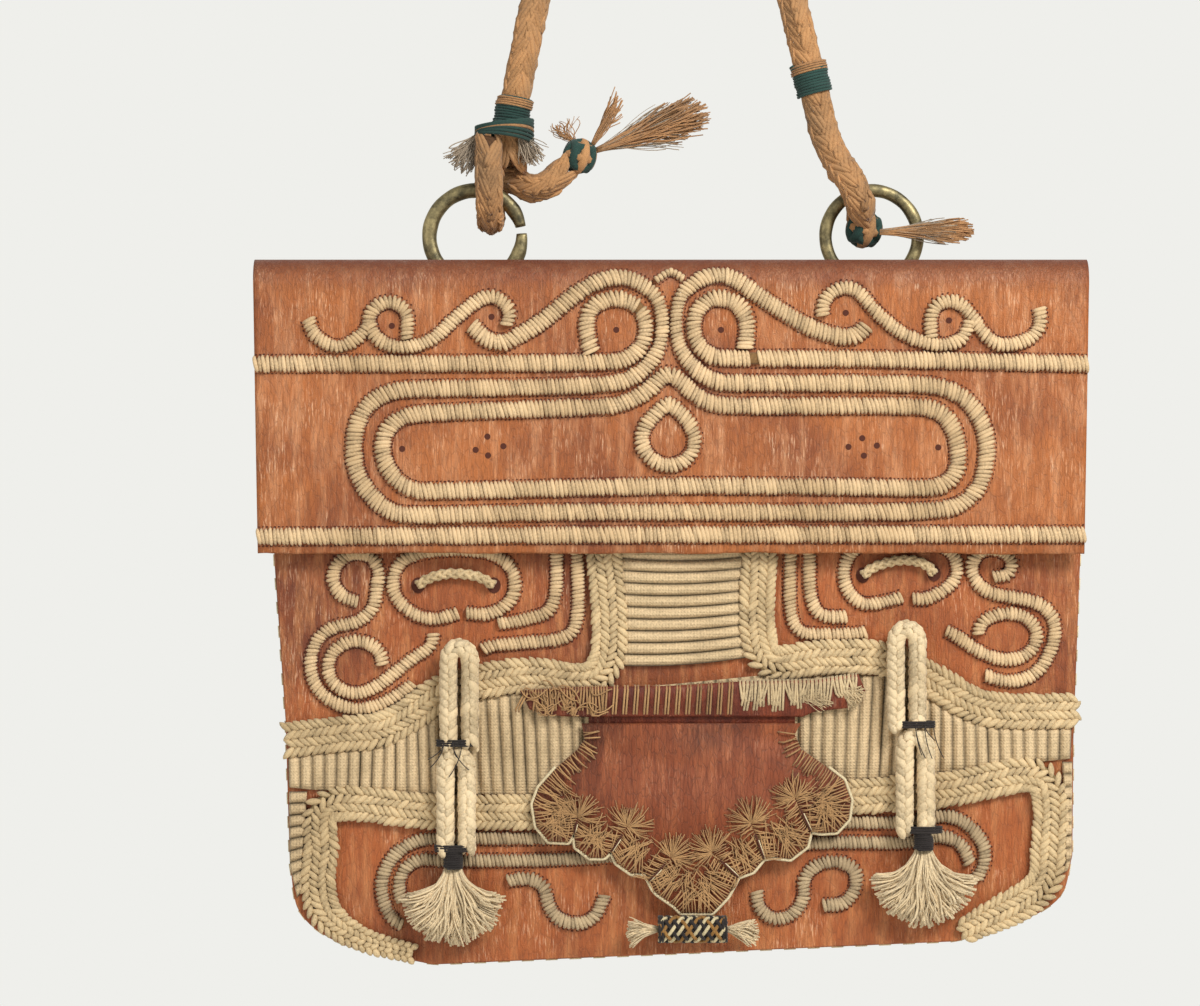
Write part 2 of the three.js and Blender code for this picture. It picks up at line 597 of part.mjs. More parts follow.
const frontCords = {
  frame_left: curveThrough([[-71.8, -118.8], [-78.3, -120.5], [-84, -119.8], [-88.5, -117.2], [-92.4, -112.6],
    [-93, -106.5], [-89.8, -101], [-82, -98.2], [-71, -97.4], [-60.5, -98.6], [-54, -102.8], [-52.2, -108.7],
    [-53.2, -113.6], [-57, -117.2], [-62, -119], [-68, -118.6]]),
  frame_right: curveThrough([[77, -113.4], [69.9, -115.2], [65, -115.6], [61, -113.2], [58.6, -109.3],
    [58.2, -103.7], [61, -97.8], [68, -94.6], [78, -93.6], [88, -94.8], [94.6, -98.8], [96.1, -104.7],
    [94.3, -108.6], [90.1, -111.8], [85.3, -113.9], [81.6, -113.8]]),
  scroll_left: curveThrough([[-105.4, -114.8], [-110.4, -112.6], [-113.2, -107.8], [-112, -102.4],
    [-107, -98.8], [-100.6, -99.7], [-98, -104.5], [-98.6, -110.5], [-99.8, -116.8], [-105, -121.4],
    [-112.8, -123.3], [-117.9, -126.8], [-120.6, -133.5], [-119.8, -141.2], [-116.7, -145.9],
    [-111.5, -149.2], [-105.1, -150.8], [-98.7, -149.7], [-92.3, -146.5], [-86.6, -142.6]]),
  scroll_right: curveThrough([[108.6, -106.4], [113, -105.6], [114.4, -101.4], [110.4, -97.6], [104.5, -97.8],
    [101.2, -101.8], [102, -107.4], [106.8, -111.6], [112.8, -113], [119.3, -114.2], [124.7, -116.2],
    [128.2, -120.4], [128.8, -126.1], [127, -132], [123.5, -137.6], [118.7, -140.6], [112.2, -141.4],
    [105.9, -139.6]]),
  volute_left: curveThrough([[-96.7, -135.4], [-97.2, -132.6], [-99.8, -129.6], [-105.1, -127.9],
    [-110.2, -129.2], [-114, -133], [-114.8, -138], [-113, -142.2], [-109.2, -144.8], [-104.5, -145.4],
    [-98.7, -143.2], [-92.3, -138.4], [-86, -133.5], [-80.4, -129.6], [-79.6, -126]]),
  volute_right: curveThrough([[103.2, -125.2], [104, -122.4], [107.2, -120], [112.8, -118.7], [118.7, -119.9],
    [122.2, -123.4], [122.6, -128], [119.7, -132.2], [114, -134.2], [108, -133.4], [102, -130.6],
    [97.3, -127.3], [92.8, -124.6]]),
  step_upper_left: [...curveThrough([[-57.4, -122], [-54.1, -121.8], [-47.7, -120.4], [-41.3, -118.2],
    [-38.8, -113]]), [-38.8, upperEnd]],
  step_upper_right: [[47.2, upperEnd], ...curveThrough([[47.2, -114], [50, -118.9], [54, -119.9],
    [58.4, -119.8]])],
  step_lower_left: [...curveThrough([[-62.6, -130.6], [-60, -129.6], [-54.1, -129], [-47.7, -128.4],
    [-37, -127.2], [-32.4, -124]]), [-32.2, upperEnd]],
  step_lower_right: [[40.9, upperEnd], ...curveThrough([[40.9, -121], [44, -125], [50, -125.7],
    [58, -125.7], [65, -125.2]])],
  lower_outer: [...curveThrough([[-90.5, -223], [-93.9, -220.4], [-96.3, -215], [-96.9, -209], [-94.8, -202.8],
    [-90.5, -197.9], [-84.3, -194.8], [-78, -194.2]]), [-37, -194], [49.7, -188.9],
  ...curveThrough([[80.3, -188.6], [90.7, -186.6], [96.7, -187.8], [101.5, -191.5], [105, -196.7],
    [105, -202.7], [102.7, -207.3]])],
  lower_inner: [...curveThrough([[-90.3, -215], [-91.1, -209.7], [-89.1, -204.4], [-84.3, -201.4],
    [-76, -201.6]]), [-37, -201.2], [49.7, -195.6],
  ...curveThrough([[80.3, -195.4], [89.7, -193.6], [94.9, -194.6], [98.5, -197.9], [100, -202]])],
  lower_scroll_left: curveThrough([[-54.1, -208.3], [-47.3, -207.7], [-42.4, -210.8], [-41.2, -215.7],
    [-38, -220.8], [-31.1, -222.7], [-25.5, -220.3], [-22.3, -213.6]]),
  lower_scroll_right: curveThrough([[28.9, -212.3], [29.6, -217.2], [34.3, -221], [40.7, -219.6],
    [44.5, -214], [44.9, -207.5], [49, -203.2], [56, -202], [61.6, -204.8], [61.8, -211], [58, -215.8],
    [51.6, -216.6]]),
};
for (const [place, line] of Object.entries(frontCords)) {
  addPiece(`front_${place}`, frontCord(line), colour.cord, 0.85);
}

// A short plaited bar lies in each frame, its ends let into the leather
const barLines = {
  left: [[-84.7, -109.3], [-81.7, -107.3], [-75.7, -105.5], [-69.3, -105.5], [-63.7, -106.7], [-59.3, -109.3]],
  right: [[64.4, -105.9], [67.5, -103.5], [73.5, -101.4], [79.4, -100.8], [85.3, -102.3], [88.3, -105.3]],
};
for (const [side, line] of Object.entries(barLines)) {
  addPiece(`bar_cord_${side}`, frontCord(line, barCordWidth, barCordHeight), colour.cordPale, 0.85);
}

// Tag: a bound strip along its top, and a scalloped leaf of leather that hangs from it

const reliefY = frontY - gap - Math.max(plaitHeight, ribBase + ribHeight);
const tagBackY = reliefY - 0.9;
const tagPivotY = tagBackY - tagThickness / 2;
const tagTopZ = (-154.4 * bagDrop) / drawn.frontDrop;

function stripGeometry() {
  const points = frontLayout([[-50.5, -144.4], [-32.8, -143.2], [-0.4, -142.8], [23.8, -141.3], [48, -140.9],
    [62.6, -138.8], [65, -144.5], [59.3, -150.2], [48, -151.4], [44, -153.2], [-30, -153.2], [-40.8, -152.8],
    [-47.3, -150.6]]);
  const strip = toSolid(plate(points, reliefY - gap, reliefY - gap - tagStripHeight));
  const grooves = [];
  const pairPitch = 7.4;
  const start = points[0][0] + pairPitch / 2;
  for (let x = start; x < points[5][0] - pairPitch / 2; x += pairPitch) {
    const groove = new THREE.BoxGeometry(1.4, 2 * 0.7, 40);
    groove.translate(x, reliefY - gap - tagStripHeight, points[0][1]);
    grooves.push(toSolid(groove));
  }
  return toGeometry(grooves.reduce((solid, groove) => solid.subtract(groove), strip));
}

addPiece('tag_strip', stripGeometry(), colour.leatherDark, 0.8);

// Scallops down the edge of the tag: centre and radius of each, from the left shoulder to the right
const scallops = [
  { x: -38.6, z: -183, r: 7.2 },
  { x: -26.4, z: -190.6, r: 7 },
  { x: -13.6, z: -197, r: 7.4 },
  { x: 7.4, z: -207, r: 10 },
  { x: 24.6, z: -198.4, r: 7.4 },
  { x: 38.6, z: -191.4, r: 8 },
  { x: 51.8, z: -181.6, r: 8.2 },
];

function leafOutline() {
  return [...curveThrough([[-29.8, tagTopZ], [-28.8, -160.7], [-31.1, -163.9], [-38.4, -170.3],
    [-44.1, -176.8], [-46.1, -182.3]], 1),
  ...curveThrough([[-44.9, -189.7], [-40.8, -194.7], [-34.3, -195], [-32.3, -191.6]], 1),
  ...curveThrough([[-31.8, -196.6], [-27.1, -200.2], [-22.3, -200.2], [-20, -198]], 1),
  ...curveThrough([[-18.2, -201.9], [-13.3, -205.4], [-8.6, -205.4]], 1),
  ...curveThrough([[-6, -210.6], [-4.5, -212.3], [1.2, -216.3], [3.4, -218.6]], 1),
  ...curveThrough([[13.8, -218.6], [18.9, -213.2], [22.4, -206.6]], 1),
  ...curveThrough([[27.4, -204.8], [31, -200.4], [34.3, -199.9], [39.9, -200.6]], 1),
  ...curveThrough([[45.4, -196.4], [46.6, -191.2], [50, -191.9], [55.3, -191.6], [59.3, -187.3],
    [60.1, -180.9], [57.7, -174.3], [50.4, -168.7], [43.4, -163.9], [41.4, -159], [43.2, tagTopZ]], 1)];
}

const leafPoints = frontLayout(leafOutline());
leafPoints[0][1] = tagTopZ - 0.9;
leafPoints[leafPoints.length - 1][1] = tagTopZ - 0.9;
addPiece('tag_leaf', plate(leafPoints, tagBackY, tagBackY - tagThickness), colour.leatherDark, 0.7);

// Threads fan over each scallop, so it stands up as a low cone with a ridge for each group of threads
function fanGeometry({ x, z, r }) {
  const rays = 9;
  const [[cx, cz]] = frontLayout([[x, z]]);
  const shape = [];
  for (let i = 0; i < 2 * rays; i += 1) {
    const angle = (Math.PI * i) / rays;
    shape.push([cx + r * Math.cos(angle), cz + r * Math.sin(angle)]);
  }
  const baseY = tagBackY - tagThickness - gap;
  const positions = [cx, baseY, cz, cx, baseY - tagThreadHeight - 0.5, cz];
  const indices = [];
  shape.forEach(([px, pz], i) => {
    const rim = i % 2 === 0 ? tagThreadHeight : 0.55 * tagThreadHeight;
    positions.push(px, baseY, pz, px, baseY - rim, pz);
    const here = 2 + 2 * i;
    const next = 2 + 2 * ((i + 1) % shape.length);
    indices.push(0, here, next, 1, next + 1, here + 1, here, here + 1, next + 1, here, next + 1, next);
  });
  return closedGeometry(positions, indices);
}

const fans = scallops.map((scallop) => toSolid(fanGeometry({ ...scallop, r: scallop.r })));
const joinedFans = fans.reduce((solid, fan) => solid.add(fan));
const links = [];
for (let i = 0; i + 1 < scallops.length; i += 1) {
  const ends = frontLayout([[scallops[i].x, scallops[i].z], [scallops[i + 1].x, scallops[i + 1].z]]);
  const section = cordSection(3, tagThreadHeight);
  links.push(toSolid(sweepBand(ends, section, (x, z, h) => [x, tagBackY - tagThickness - gap - h, z])));
}
const edging = links.reduce((solid, link) => solid.add(link), joinedFans)
  .intersect(toSolid(plate(leafPoints, tagBackY, tagBackY - tagThickness - 4)));
addPiece('tag_edging', toGeometry(largestPart(edging)), colour.tagThread, 0.9);

// A woven toggle knot lies across the foot of the tag, with a tuft at each end

const [[toggleX, leafTipZ]] = frontLayout([[7.2, -218.6]]);
const toggleZ = leafTipZ - gap - toggleRadius;
const toggleY = tagBackY - toggleRadius + 1.2;

function toggleGeometry() {
  const profile = [new THREE.Vector2(0, -toggleLength / 2)];
  const turns = 5;
  for (let i = 0; i <= 2 * turns; i += 1) {
    const place = -toggleLength / 2 + (toggleLength * i) / (2 * turns);
    const swell = 1 - 0.12 * Math.abs((2 * place) / toggleLength) ** 3;
    profile.push(new THREE.Vector2((i % 2 === 0 ? 0.9 : 1) * toggleRadius * swell, place));
  }
  profile.push(new THREE.Vector2(0, toggleLength / 2));
  return new THREE.LatheGeometry(profile, 12).rotateZ(Math.PI / 2);
}

addPiece('toggle_knot', toggleGeometry(), colour.toggle, 0.85).position.set(toggleX, toggleY, toggleZ);

// A bundle of loose threads: lobed rings of growing size along a line, closed at both ends
function bundleGeometry(rings, lobes) {
  const sides = 2 * lobes;
  const positions = [];
  for (const { at, width, depth, droop = 0, ripple = 0.16 } of rings) {
    for (let j = 0; j < sides; j += 1) {
      const angle = (Math.PI * j) / lobes;
      const reach = j % 2 === 0 ? 1 : 1 - ripple;
      positions.push((width / 2) * reach * Math.cos(angle), (depth / 2) * reach * Math.sin(angle), -at);
      if (j % 2 === 1) positions[positions.length - 1] += droop;
    }
  }
  const indices = [];
  for (let i = 0; i + 1 < rings.length; i += 1) {
    for (let j = 0; j < sides; j += 1) {
      const k = (j + 1) % sides;
      const a = i * sides;
      const b = (i + 1) * sides;
      indices.push(a + j, b + k, a + k, a + j, b + j, b + k);
    }
  }
  const last = (rings.length - 1) * sides;
  for (let j = 1; j + 1 < sides; j += 1) {
    indices.push(0, j, j + 1, last, last + j + 1, last + j);
  }
  return closedGeometry(positions, indices);
}

for (const [side, sign] of [['left', -1], ['right', 1]]) {
  const tuft = bundleGeometry([
    { at: 0, width: 4, depth: 4 },
    { at: 0.45 * tuftLength, width: 8, depth: 6 },
    { at: tuftLength, width: 10, depth: 6, droop: 1.5 },
  ], 6);
  tuft.rotateY((sign * -Math.PI) / 2);
  const place = addPiece(`toggle_tuft_${side}`, tuft, colour.cordPale, 0.95);
  place.position.set(toggleX + sign * (toggleLength / 2 + gap), toggleY, toggleZ);
}

// Pendants: a loop of plaited cord through a slit, bound to a second loop and a tassel

const pendantBackY = reliefY - 0.6;
const pendantY = pendantBackY - pendantCord / 2;

// A pair of cords side by side, joined by a round turn at the top
function cordPair(length) {
  const reach = (pendantCord + pendantSlit) / 2;
  const half = pendantCord / 2;
  const turn = 1.25 * reach;
  const line = [[-reach, -length], [-reach, -half - turn]];
  for (let i = 1; i <= 5; i += 1) {
    const angle = Math.PI - (Math.PI * i) / 6;
    line.push([reach * Math.cos(angle), -half - turn + turn * Math.sin(angle)]);
  }
  line.push([reach, -half - turn], [reach, -length]);
  const section = [];
  for (let j = 0; j < 8; j += 1) {
    const angle = (Math.PI * (j + 0.5)) / 4;
    section.push([half * Math.cos(angle), half * Math.sin(angle)]);
  }
  return sweepBand(line, section, (x, z, h) => [x, -h, z]);
}

const pendants = {
  left: { root: [-70.7, -126.8], lean: 1.6 },
  right: { root: [78.6, -120.6], lean: -4.6 },
};
for (const [side, { root, lean }] of Object.entries(pendants)) {
  const [[x, z]] = frontLayout([root]);
  const step = (depth) => x - Math.tan(THREE.MathUtils.degToRad(lean)) * depth;
  const lowerTop = pendantUpperLength + gap;
  const bindTop = lowerTop + pendantLowerLength + gap;
  const upper = addPiece(`pendant_${side}_upper`, cordPair(pendantUpperLength), colour.cordPale, 0.85);
  upper.position.set(x, pendantY, z);
  const lower = addPiece(`pendant_${side}_lower`, cordPair(pendantLowerLength), colour.cordPale, 0.85);
  lower.position.set(step(lowerTop), pendantY, z - lowerTop);
  const tassel = bundleGeometry([
    { at: 0, width: 6.6, depth: 6.6, ripple: 0.05 },
    { at: pendantBindLength, width: 6.6, depth: 6.6, ripple: 0.05 },
    { at: pendantBindLength + 2, width: 10, depth: 7.4 },
    { at: pendantBindLength + 0.45 * tasselLength, width: 0.78 * tasselWidth, depth: 0.95 * tasselDepth, droop: 1 },
    { at: pendantBindLength + 0.8 * tasselLength, width: tasselWidth, depth: tasselDepth, droop: 3 },
    { at: pendantBindLength + tasselLength, width: 0.55 * tasselWidth, depth: 0.7 * tasselDepth, droop: 3 },
  ], 9);
  const hang = addPiece(`pendant_${side}_tassel`, tassel, colour.cordPale, 0.95);
  hang.position.set(step(bindTop), pendantY, z - bindTop);
}

// Strap: a plaited rope from the left ring, over the peg and down to the right ring

function ropeCurve(points) {
  return new THREE.CatmullRomCurve3(points.map((p) => new THREE.Vector3(...p)), false, 'centripetal');
}

function ropeGeometry(points, diameter, steps) {
  const circle = [];
  for (let i = 0; i < ropeSides; i += 1) {
    const angle = (2 * Math.PI * i) / ropeSides;
    circle.push([(diameter / 2) * Math.cos(angle), (diameter / 2) * Math.sin(angle)]);
  }
  return new THREE.ExtrudeGeometry(outlineShape(circle), {
    steps,
    bevelEnabled: false,
    extrudePath: ropeCurve(points),
  });
}

const strapRoute = [
  [-54.0, 0.6, 36], [-54.6, 0, 45.5], [-52.5, 0, 57.7], [-46.8, 0, 86], [-40, 0, 119.8], [-33, 0, 154.5],
  [-27.2, 0, 183.3], [-23.7, 0, 200.7], [-20, 0, 208.9], [-13.2, 0, 214.6], [-4.1, 0, 216.8], [4.6, 0, 214.8],
  [11.4, 0, 209.4], [15.3, 0, 201.4], [20.5, 0, 180], [27.8, 0, 150], [35.5, 0, 118], [43.2, 0, 86],
  [49.5, 0, 60], [53.8, 0, 43], [57.8, -4.6, 34], [61.6, -8.8, 27.6], [64.2, -9, 21.6], [65.3, -5.1, 17.4],
].map(([x, y, z]) => [x, ringY + y, z]);
addPiece('strap_rope', ropeGeometry(strapRoute, ropeDiameter, ropeSteps), colour.rope, 0.9);

// The left end goes round the ring and back, and runs out to its stopper knot
const hitchRoute = [
  [-60.4, -9.4, 46.4], [-61.6, -9.1, 40], [-61.6, -8.8, 32], [-61.4, -8.7, 24.5], [-61.3, -6.2, 18.2],
  [-61.2, 0, 15.2], [-61, 6.2, 18.2], [-60.4, 8.8, 24.5], [-57.6, 8.4, 29.4], [-53, 5.8, 29.2],
  [-48.4, 1.8, 26.6], [-43, -0.4, 26.8], [-39, -0.4, 29.6], [-36.1, -0.3, 32.5],
].map(([x, y, z]) => [x, ringY + y, z]);
addPiece('strap_hitch_left', ropeGeometry(hitchRoute, hitchDiameter, hitchSteps), colour.rope, 0.9);

// Thread whippings bound round the rope
function whippingGeometry() {
  const inner = ropeDiameter / 2 + gap;
  const outer = inner + whippingWall;
  const half = whippingLength / 2;
  const profile = [[inner, -half], [outer, -0.7 * half], [outer, 0.7 * half], [inner, half], [inner, -half]];
  const bead = [[inner, -half], [outer, -half], [outer, half], [inner, half], [inner, -half]];
  const points = (whippingWall > 0.5 ? bead : profile).map(([r, y]) => new THREE.Vector2(r, y));
  return new THREE.LatheGeometry(points, 16).rotateX(Math.PI / 2);
}

// Each whipping is set on the rope at its height on that side of the peg
const whippings = { left: { height: 52.6, sign: -1 }, right: { height: 63.6, sign: 1 } };
for (const [side, { height, sign }] of Object.entries(whippings)) {
  const curve = ropeCurve(strapRoute);
  let best = 0;
  for (let i = 0; i <= 2000; i += 1) {
    const here = curve.getPoint(i / 2000);
    const kept = curve.getPoint(best);
    const onSide = sign * (here.x - pegX) > 0;
    if (onSide && (best === 0 || Math.abs(here.z - height) < Math.abs(kept.z - height))) best = i / 2000;
  }
  const sleeve = addPiece(`strap_whipping_${side}`, whippingGeometry(), colour.greenThread, 0.85);
  sleeve.position.copy(curve.getPoint(best));
  const along = curve.getTangent(best);
  sleeve.rotation.y = Math.atan2(along.x, along.z);
}

const knots = {
  left: { at: [-30.7, 37], radius: knotRadiusLeft },
  right: { at: [66.7, 12], radius: knotRadiusRight },
};
for (const [side, { at, radius }] of Object.entries(knots)) {
  const ball = new THREE.SphereGeometry(radius, 12, 8);
  addPiece(`strap_knot_${side}`, ball, colour.greenThread, 0.85).position.set(at[0], ringY, at[1]);
}

// Frayed ends beyond the knots
const frayRise = THREE.MathUtils.degToRad(20);
const frayLeft = bundleGeometry([
  { at: 0, width: 6, depth: 6, ripple: 0.1 },
  { at: 8, width: 10, depth: 8 },
  { at: 24, width: 13, depth: 8, droop: 2 },
  { at: 36, width: 12, depth: 6, droop: 4 },
], 6).rotateY(-Math.PI / 2 - frayRise);
const frayReach = knotRadiusLeft + gap;
addPiece('strap_fray_left', frayLeft, colour.rope, 0.95).position.set(
  knots.left.at[0] + frayReach * Math.cos(frayRise),
  ringY,
  knots.left.at[1] + frayReach * Math.sin(frayRise),
);

const frayRight = bundleGeometry([
  { at: 0, width: 4, depth: 2.8, ripple: 0.1 },
  { at: 10, width: 8, depth: 3 },
  { at: 22, width: 8.6, depth: 3 },
  { at: 32, width: 8, depth: 3, droop: 3 },
], 6).rotateY(-Math.PI / 2);
const frayRightMesh = addPiece('strap_fray_right', frayRight, colour.rope, 0.95);
frayRightMesh.position.set(71.1, ringY - 6.4, 9.4);

export default group;
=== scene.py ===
# A flat leather shoulder bag with couched cord embroidery, hung from its plaited rope strap.
import math

import bpy
import numpy as np
from mathutils import Matrix, Vector, noise


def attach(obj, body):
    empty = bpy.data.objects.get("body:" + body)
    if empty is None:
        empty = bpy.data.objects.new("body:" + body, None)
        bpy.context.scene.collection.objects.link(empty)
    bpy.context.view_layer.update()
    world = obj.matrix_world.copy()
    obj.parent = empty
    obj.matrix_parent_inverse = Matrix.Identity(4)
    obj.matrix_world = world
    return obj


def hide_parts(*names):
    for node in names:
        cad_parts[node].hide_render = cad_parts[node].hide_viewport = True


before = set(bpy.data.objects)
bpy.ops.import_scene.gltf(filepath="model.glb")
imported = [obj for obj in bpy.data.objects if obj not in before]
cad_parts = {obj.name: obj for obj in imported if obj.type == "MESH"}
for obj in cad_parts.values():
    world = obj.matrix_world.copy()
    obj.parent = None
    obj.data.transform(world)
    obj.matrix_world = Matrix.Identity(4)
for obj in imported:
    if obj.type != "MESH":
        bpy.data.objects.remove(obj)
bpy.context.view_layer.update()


# The view: the camera looks straight at the front from a little over a metre, as the photo does.
# One large soft light above and to the right with a weak one on the left, a plain pale floor and a pale world.

# Layout millimetres: x to the right, y back from the middle of the bag, z up from the flap's top edge
LAYOUT_ORIGIN = np.array([4.1, -16.1, -211.3])
VIEW_WIDTH = 0.400
VIEW_CENTRE = (-0.0196, -0.034, -0.293)
VIEW_DISTANCE = 1.25
SENSOR_WIDTH = 36
WORLD_STRENGTH = 0.36
FLOOR_Z = -0.56
FLOOR_REACH = 4
FADE_START = 0.3
FADE_END = 0.66
BACKGROUND = "#efefeb"


def to_frame(points):
    return (np.atleast_2d(np.asarray(points, float)) + LAYOUT_ORIGIN) / 1000


def area_light(name, place, size, power):
    data = bpy.data.lights.new(name, "AREA")
    data.size = size
    data.energy = power
    lamp = bpy.data.objects.new(name, data)
    lamp.location = place
    lamp.rotation_euler = (Vector(VIEW_CENTRE) - lamp.location).to_track_quat("-Z", "Y").to_euler()
    bpy.context.scene.collection.objects.link(lamp)


def feed(tree, node, inputs):
    """Each input takes a value, or a link from the output socket that feeds it."""
    for key, value in inputs.items():
        if isinstance(value, bpy.types.NodeSocket):
            tree.links.new(value, node.inputs[key])
        else:
            node.inputs[key].default_value = value


def add_node(tree, kind, settings=None, inputs=None):
    made = tree.nodes.new(kind)
    for key, value in (settings or {}).items():
        setattr(made, key, value)
    feed(tree, made, inputs or {})
    return made


def linear(text):
    channels = [int(text[i : i + 2], 16) / 255 for i in (1, 3, 5)]
    return [c / 12.92 if c <= 0.04045 else ((c + 0.055) / 1.055) ** 2.4 for c in channels] + [1.0]


def new_finish(name):
    """A new material, its node tree and its shader."""
    mat = bpy.data.materials.new(name)
    mat.use_nodes = True
    return mat, mat.node_tree, mat.node_tree.nodes["Principled BSDF"]


scene = bpy.context.scene
camera = bpy.data.objects.new("camera", bpy.data.cameras.new("camera"))
camera.location = (VIEW_CENTRE[0], VIEW_CENTRE[1] - VIEW_DISTANCE, VIEW_CENTRE[2])
camera.rotation_euler = (math.pi / 2, 0, 0)
camera.data.sensor_width = SENSOR_WIDTH
camera.data.lens = SENSOR_WIDTH * VIEW_DISTANCE / VIEW_WIDTH
scene.collection.objects.link(camera)
scene.camera = camera
scene.render.resolution_x = 1200
scene.render.resolution_y = 1006
scene.view_settings.view_transform = "Standard"

area_light("key_light", (0.62, -0.95, 0.45), 0.45, 18)
area_light("fill_light", (-0.9, -1.0, -0.1), 0.9, 4)

# The world lights with white, and shows its paler background to the camera, to mirrors and through glass
world = bpy.data.worlds.new("pale_world")
scene.world = world
world.use_nodes = True
tree = world.node_tree
light = tree.nodes["Background"]
feed(tree, light, {"Color": (1, 1, 1, 1), "Strength": WORLD_STRENGTH})
seen = add_node(tree, "ShaderNodeBackground", inputs={"Color": linear(BACKGROUND), "Strength": 1})
rays = add_node(tree, "ShaderNodeLightPath").outputs
shown = rays["Is Camera Ray"]
for kind in ("Is Glossy Ray", "Is Transmission Ray"):
    shown = add_node(tree, "ShaderNodeMath", {"operation": "MAXIMUM"}, {0: shown, 1: rays[kind]}).outputs[0]
mix = add_node(tree, "ShaderNodeMixShader", inputs={0: shown, 1: light.outputs[0], 2: seen.outputs[0]})
feed(tree, tree.nodes["World Output"], {"Surface": mix.outputs[0]})

# Matt pale paint takes the soft shadow, and beyond it fades into the background for the camera alone
floor_paint, tree, shader = new_finish("pale_matt_floor")
feed(tree, shader, {"Base Color": linear("#eeebe4"), "Roughness": 0.9})
place = add_node(tree, "ShaderNodeTexCoord").outputs["Object"]
flat_place = add_node(tree, "ShaderNodeVectorMath", {"operation": "MULTIPLY"}, {0: place, 1: (1, 1, 0)})
away = add_node(tree, "ShaderNodeVectorMath", {"operation": "LENGTH"}, {0: flat_place.outputs[0]})
fade = add_node(tree, "ShaderNodeMapRange", inputs={
    "Value": away.outputs["Value"], "From Min": FADE_START, "From Max": FADE_END, "To Min": 0.5})
camera_ray = add_node(tree, "ShaderNodeLightPath").outputs["Is Camera Ray"]
share = add_node(tree, "ShaderNodeMath", {"operation": "MULTIPLY"}, {0: fade.outputs[0], 1: camera_ray})
plain = add_node(tree, "ShaderNodeEmission", inputs={"Color": linear(BACKGROUND), "Strength": 1})
faded = add_node(tree, "ShaderNodeMixShader", inputs={
    0: share.outputs[0], 1: shader.outputs[0], 2: plain.outputs[0]})
feed(tree, tree.nodes["Material Output"], {"Surface": faded.outputs[0]})

floor_mesh = bpy.data.meshes.new("floor")
corners = [(x * FLOOR_REACH, y * FLOOR_REACH, FLOOR_Z) for x, y in ((-1, -1), (1, -1), (1, 1), (-1, 1))]
floor_mesh.from_pydata(corners, [], [(0, 1, 2, 3)])
floor_mesh.materials.append(floor_paint)
floor = bpy.data.objects.new("floor", floor_mesh)
scene.collection.objects.link(floor)


# The strap: a limp plaited rope of tan fibre, 11 mm thick, from the left ring over the peg to the right ring.
# Dark green whippings bind it, it turns round the left ring, and both ends finish in a ball knot and a fray.

ROPE_CORE = 3.9
TURN_CORE = 3.6
ROPE_COLUMNS = 6
ROPE_LOBE_PITCH = 4.4
ROPE_LOBE_LEAN = 26
ROPE_RANDOM = (0.09, 0.08)
ROPE_ROUTE = (
    (-54, 16.7, 36), (-54.6, 16.1, 45.5), (-52.5, 16.1, 57.7), (-46.8, 16.1, 86), (-40, 16.1, 119.8),
    (-33, 16.1, 154.5), (-27.2, 16.1, 183.3), (-23.7, 16.1, 200.7), (-20, 16.1, 208.9),
    (-13.2, 16.1, 214.6), (-4.1, 16.1, 216.8), (4.6, 16.1, 214.8), (11.4, 16.1, 209.4),
    (15.3, 16.1, 201.4), (20.5, 16.1, 180), (27.8, 16.1, 150), (35.5, 16.1, 118), (43.2, 16.1, 86),
    (49.5, 16.1, 60), (53.8, 16.1, 43), (57.8, 11.5, 34), (61.6, 7.3, 27.6), (64.2, 7.1, 21.6),
    (65.3, 11, 17.4),
)
HITCH_ROUTE = (
    (-60.4, 6.7, 46.4), (-61.6, 7, 40), (-61.6, 7.3, 32), (-61.4, 7.4, 24.5), (-61.3, 9.9, 18.2),
    (-61.2, 16.1, 15.2), (-61, 22.3, 18.2), (-60.4, 24.9, 24.5), (-57.6, 24.5, 29.4), (-53, 21.9, 29.2),
    (-48.4, 17.9, 26.6), (-43, 15.7, 26.8), (-39, 15.7, 29.6), (-36.1, 15.8, 32.5),
)
# Each whipping: its height and its side of the strap
WHIPPINGS = ((52.6, -1), (63.6, 1))
WHIPPING_HALF = 5.2
HITCH_RING_TURNS = 7
KNOT_LEFT = np.array([-30.7, 16.1, 37.0])
KNOT_RIGHT = np.array([66.7, 16.1, 12.0])
LEFT_FRAY_RISE = math.radians(20)
RIGHT_FRAY = (71.6, 9.6, 10.6)
GRIME_PATCH = 22.2


def even_line(line, step):
    run = np.concatenate([[0], np.cumsum(np.linalg.norm(np.diff(line, axis=0), axis=1))])
    places = np.linspace(0, run[-1], max(2, int(round(run[-1] / step)) + 1))
    return np.stack([np.interp(places, run, line[:, k]) for k in range(line.shape[1])], axis=1)


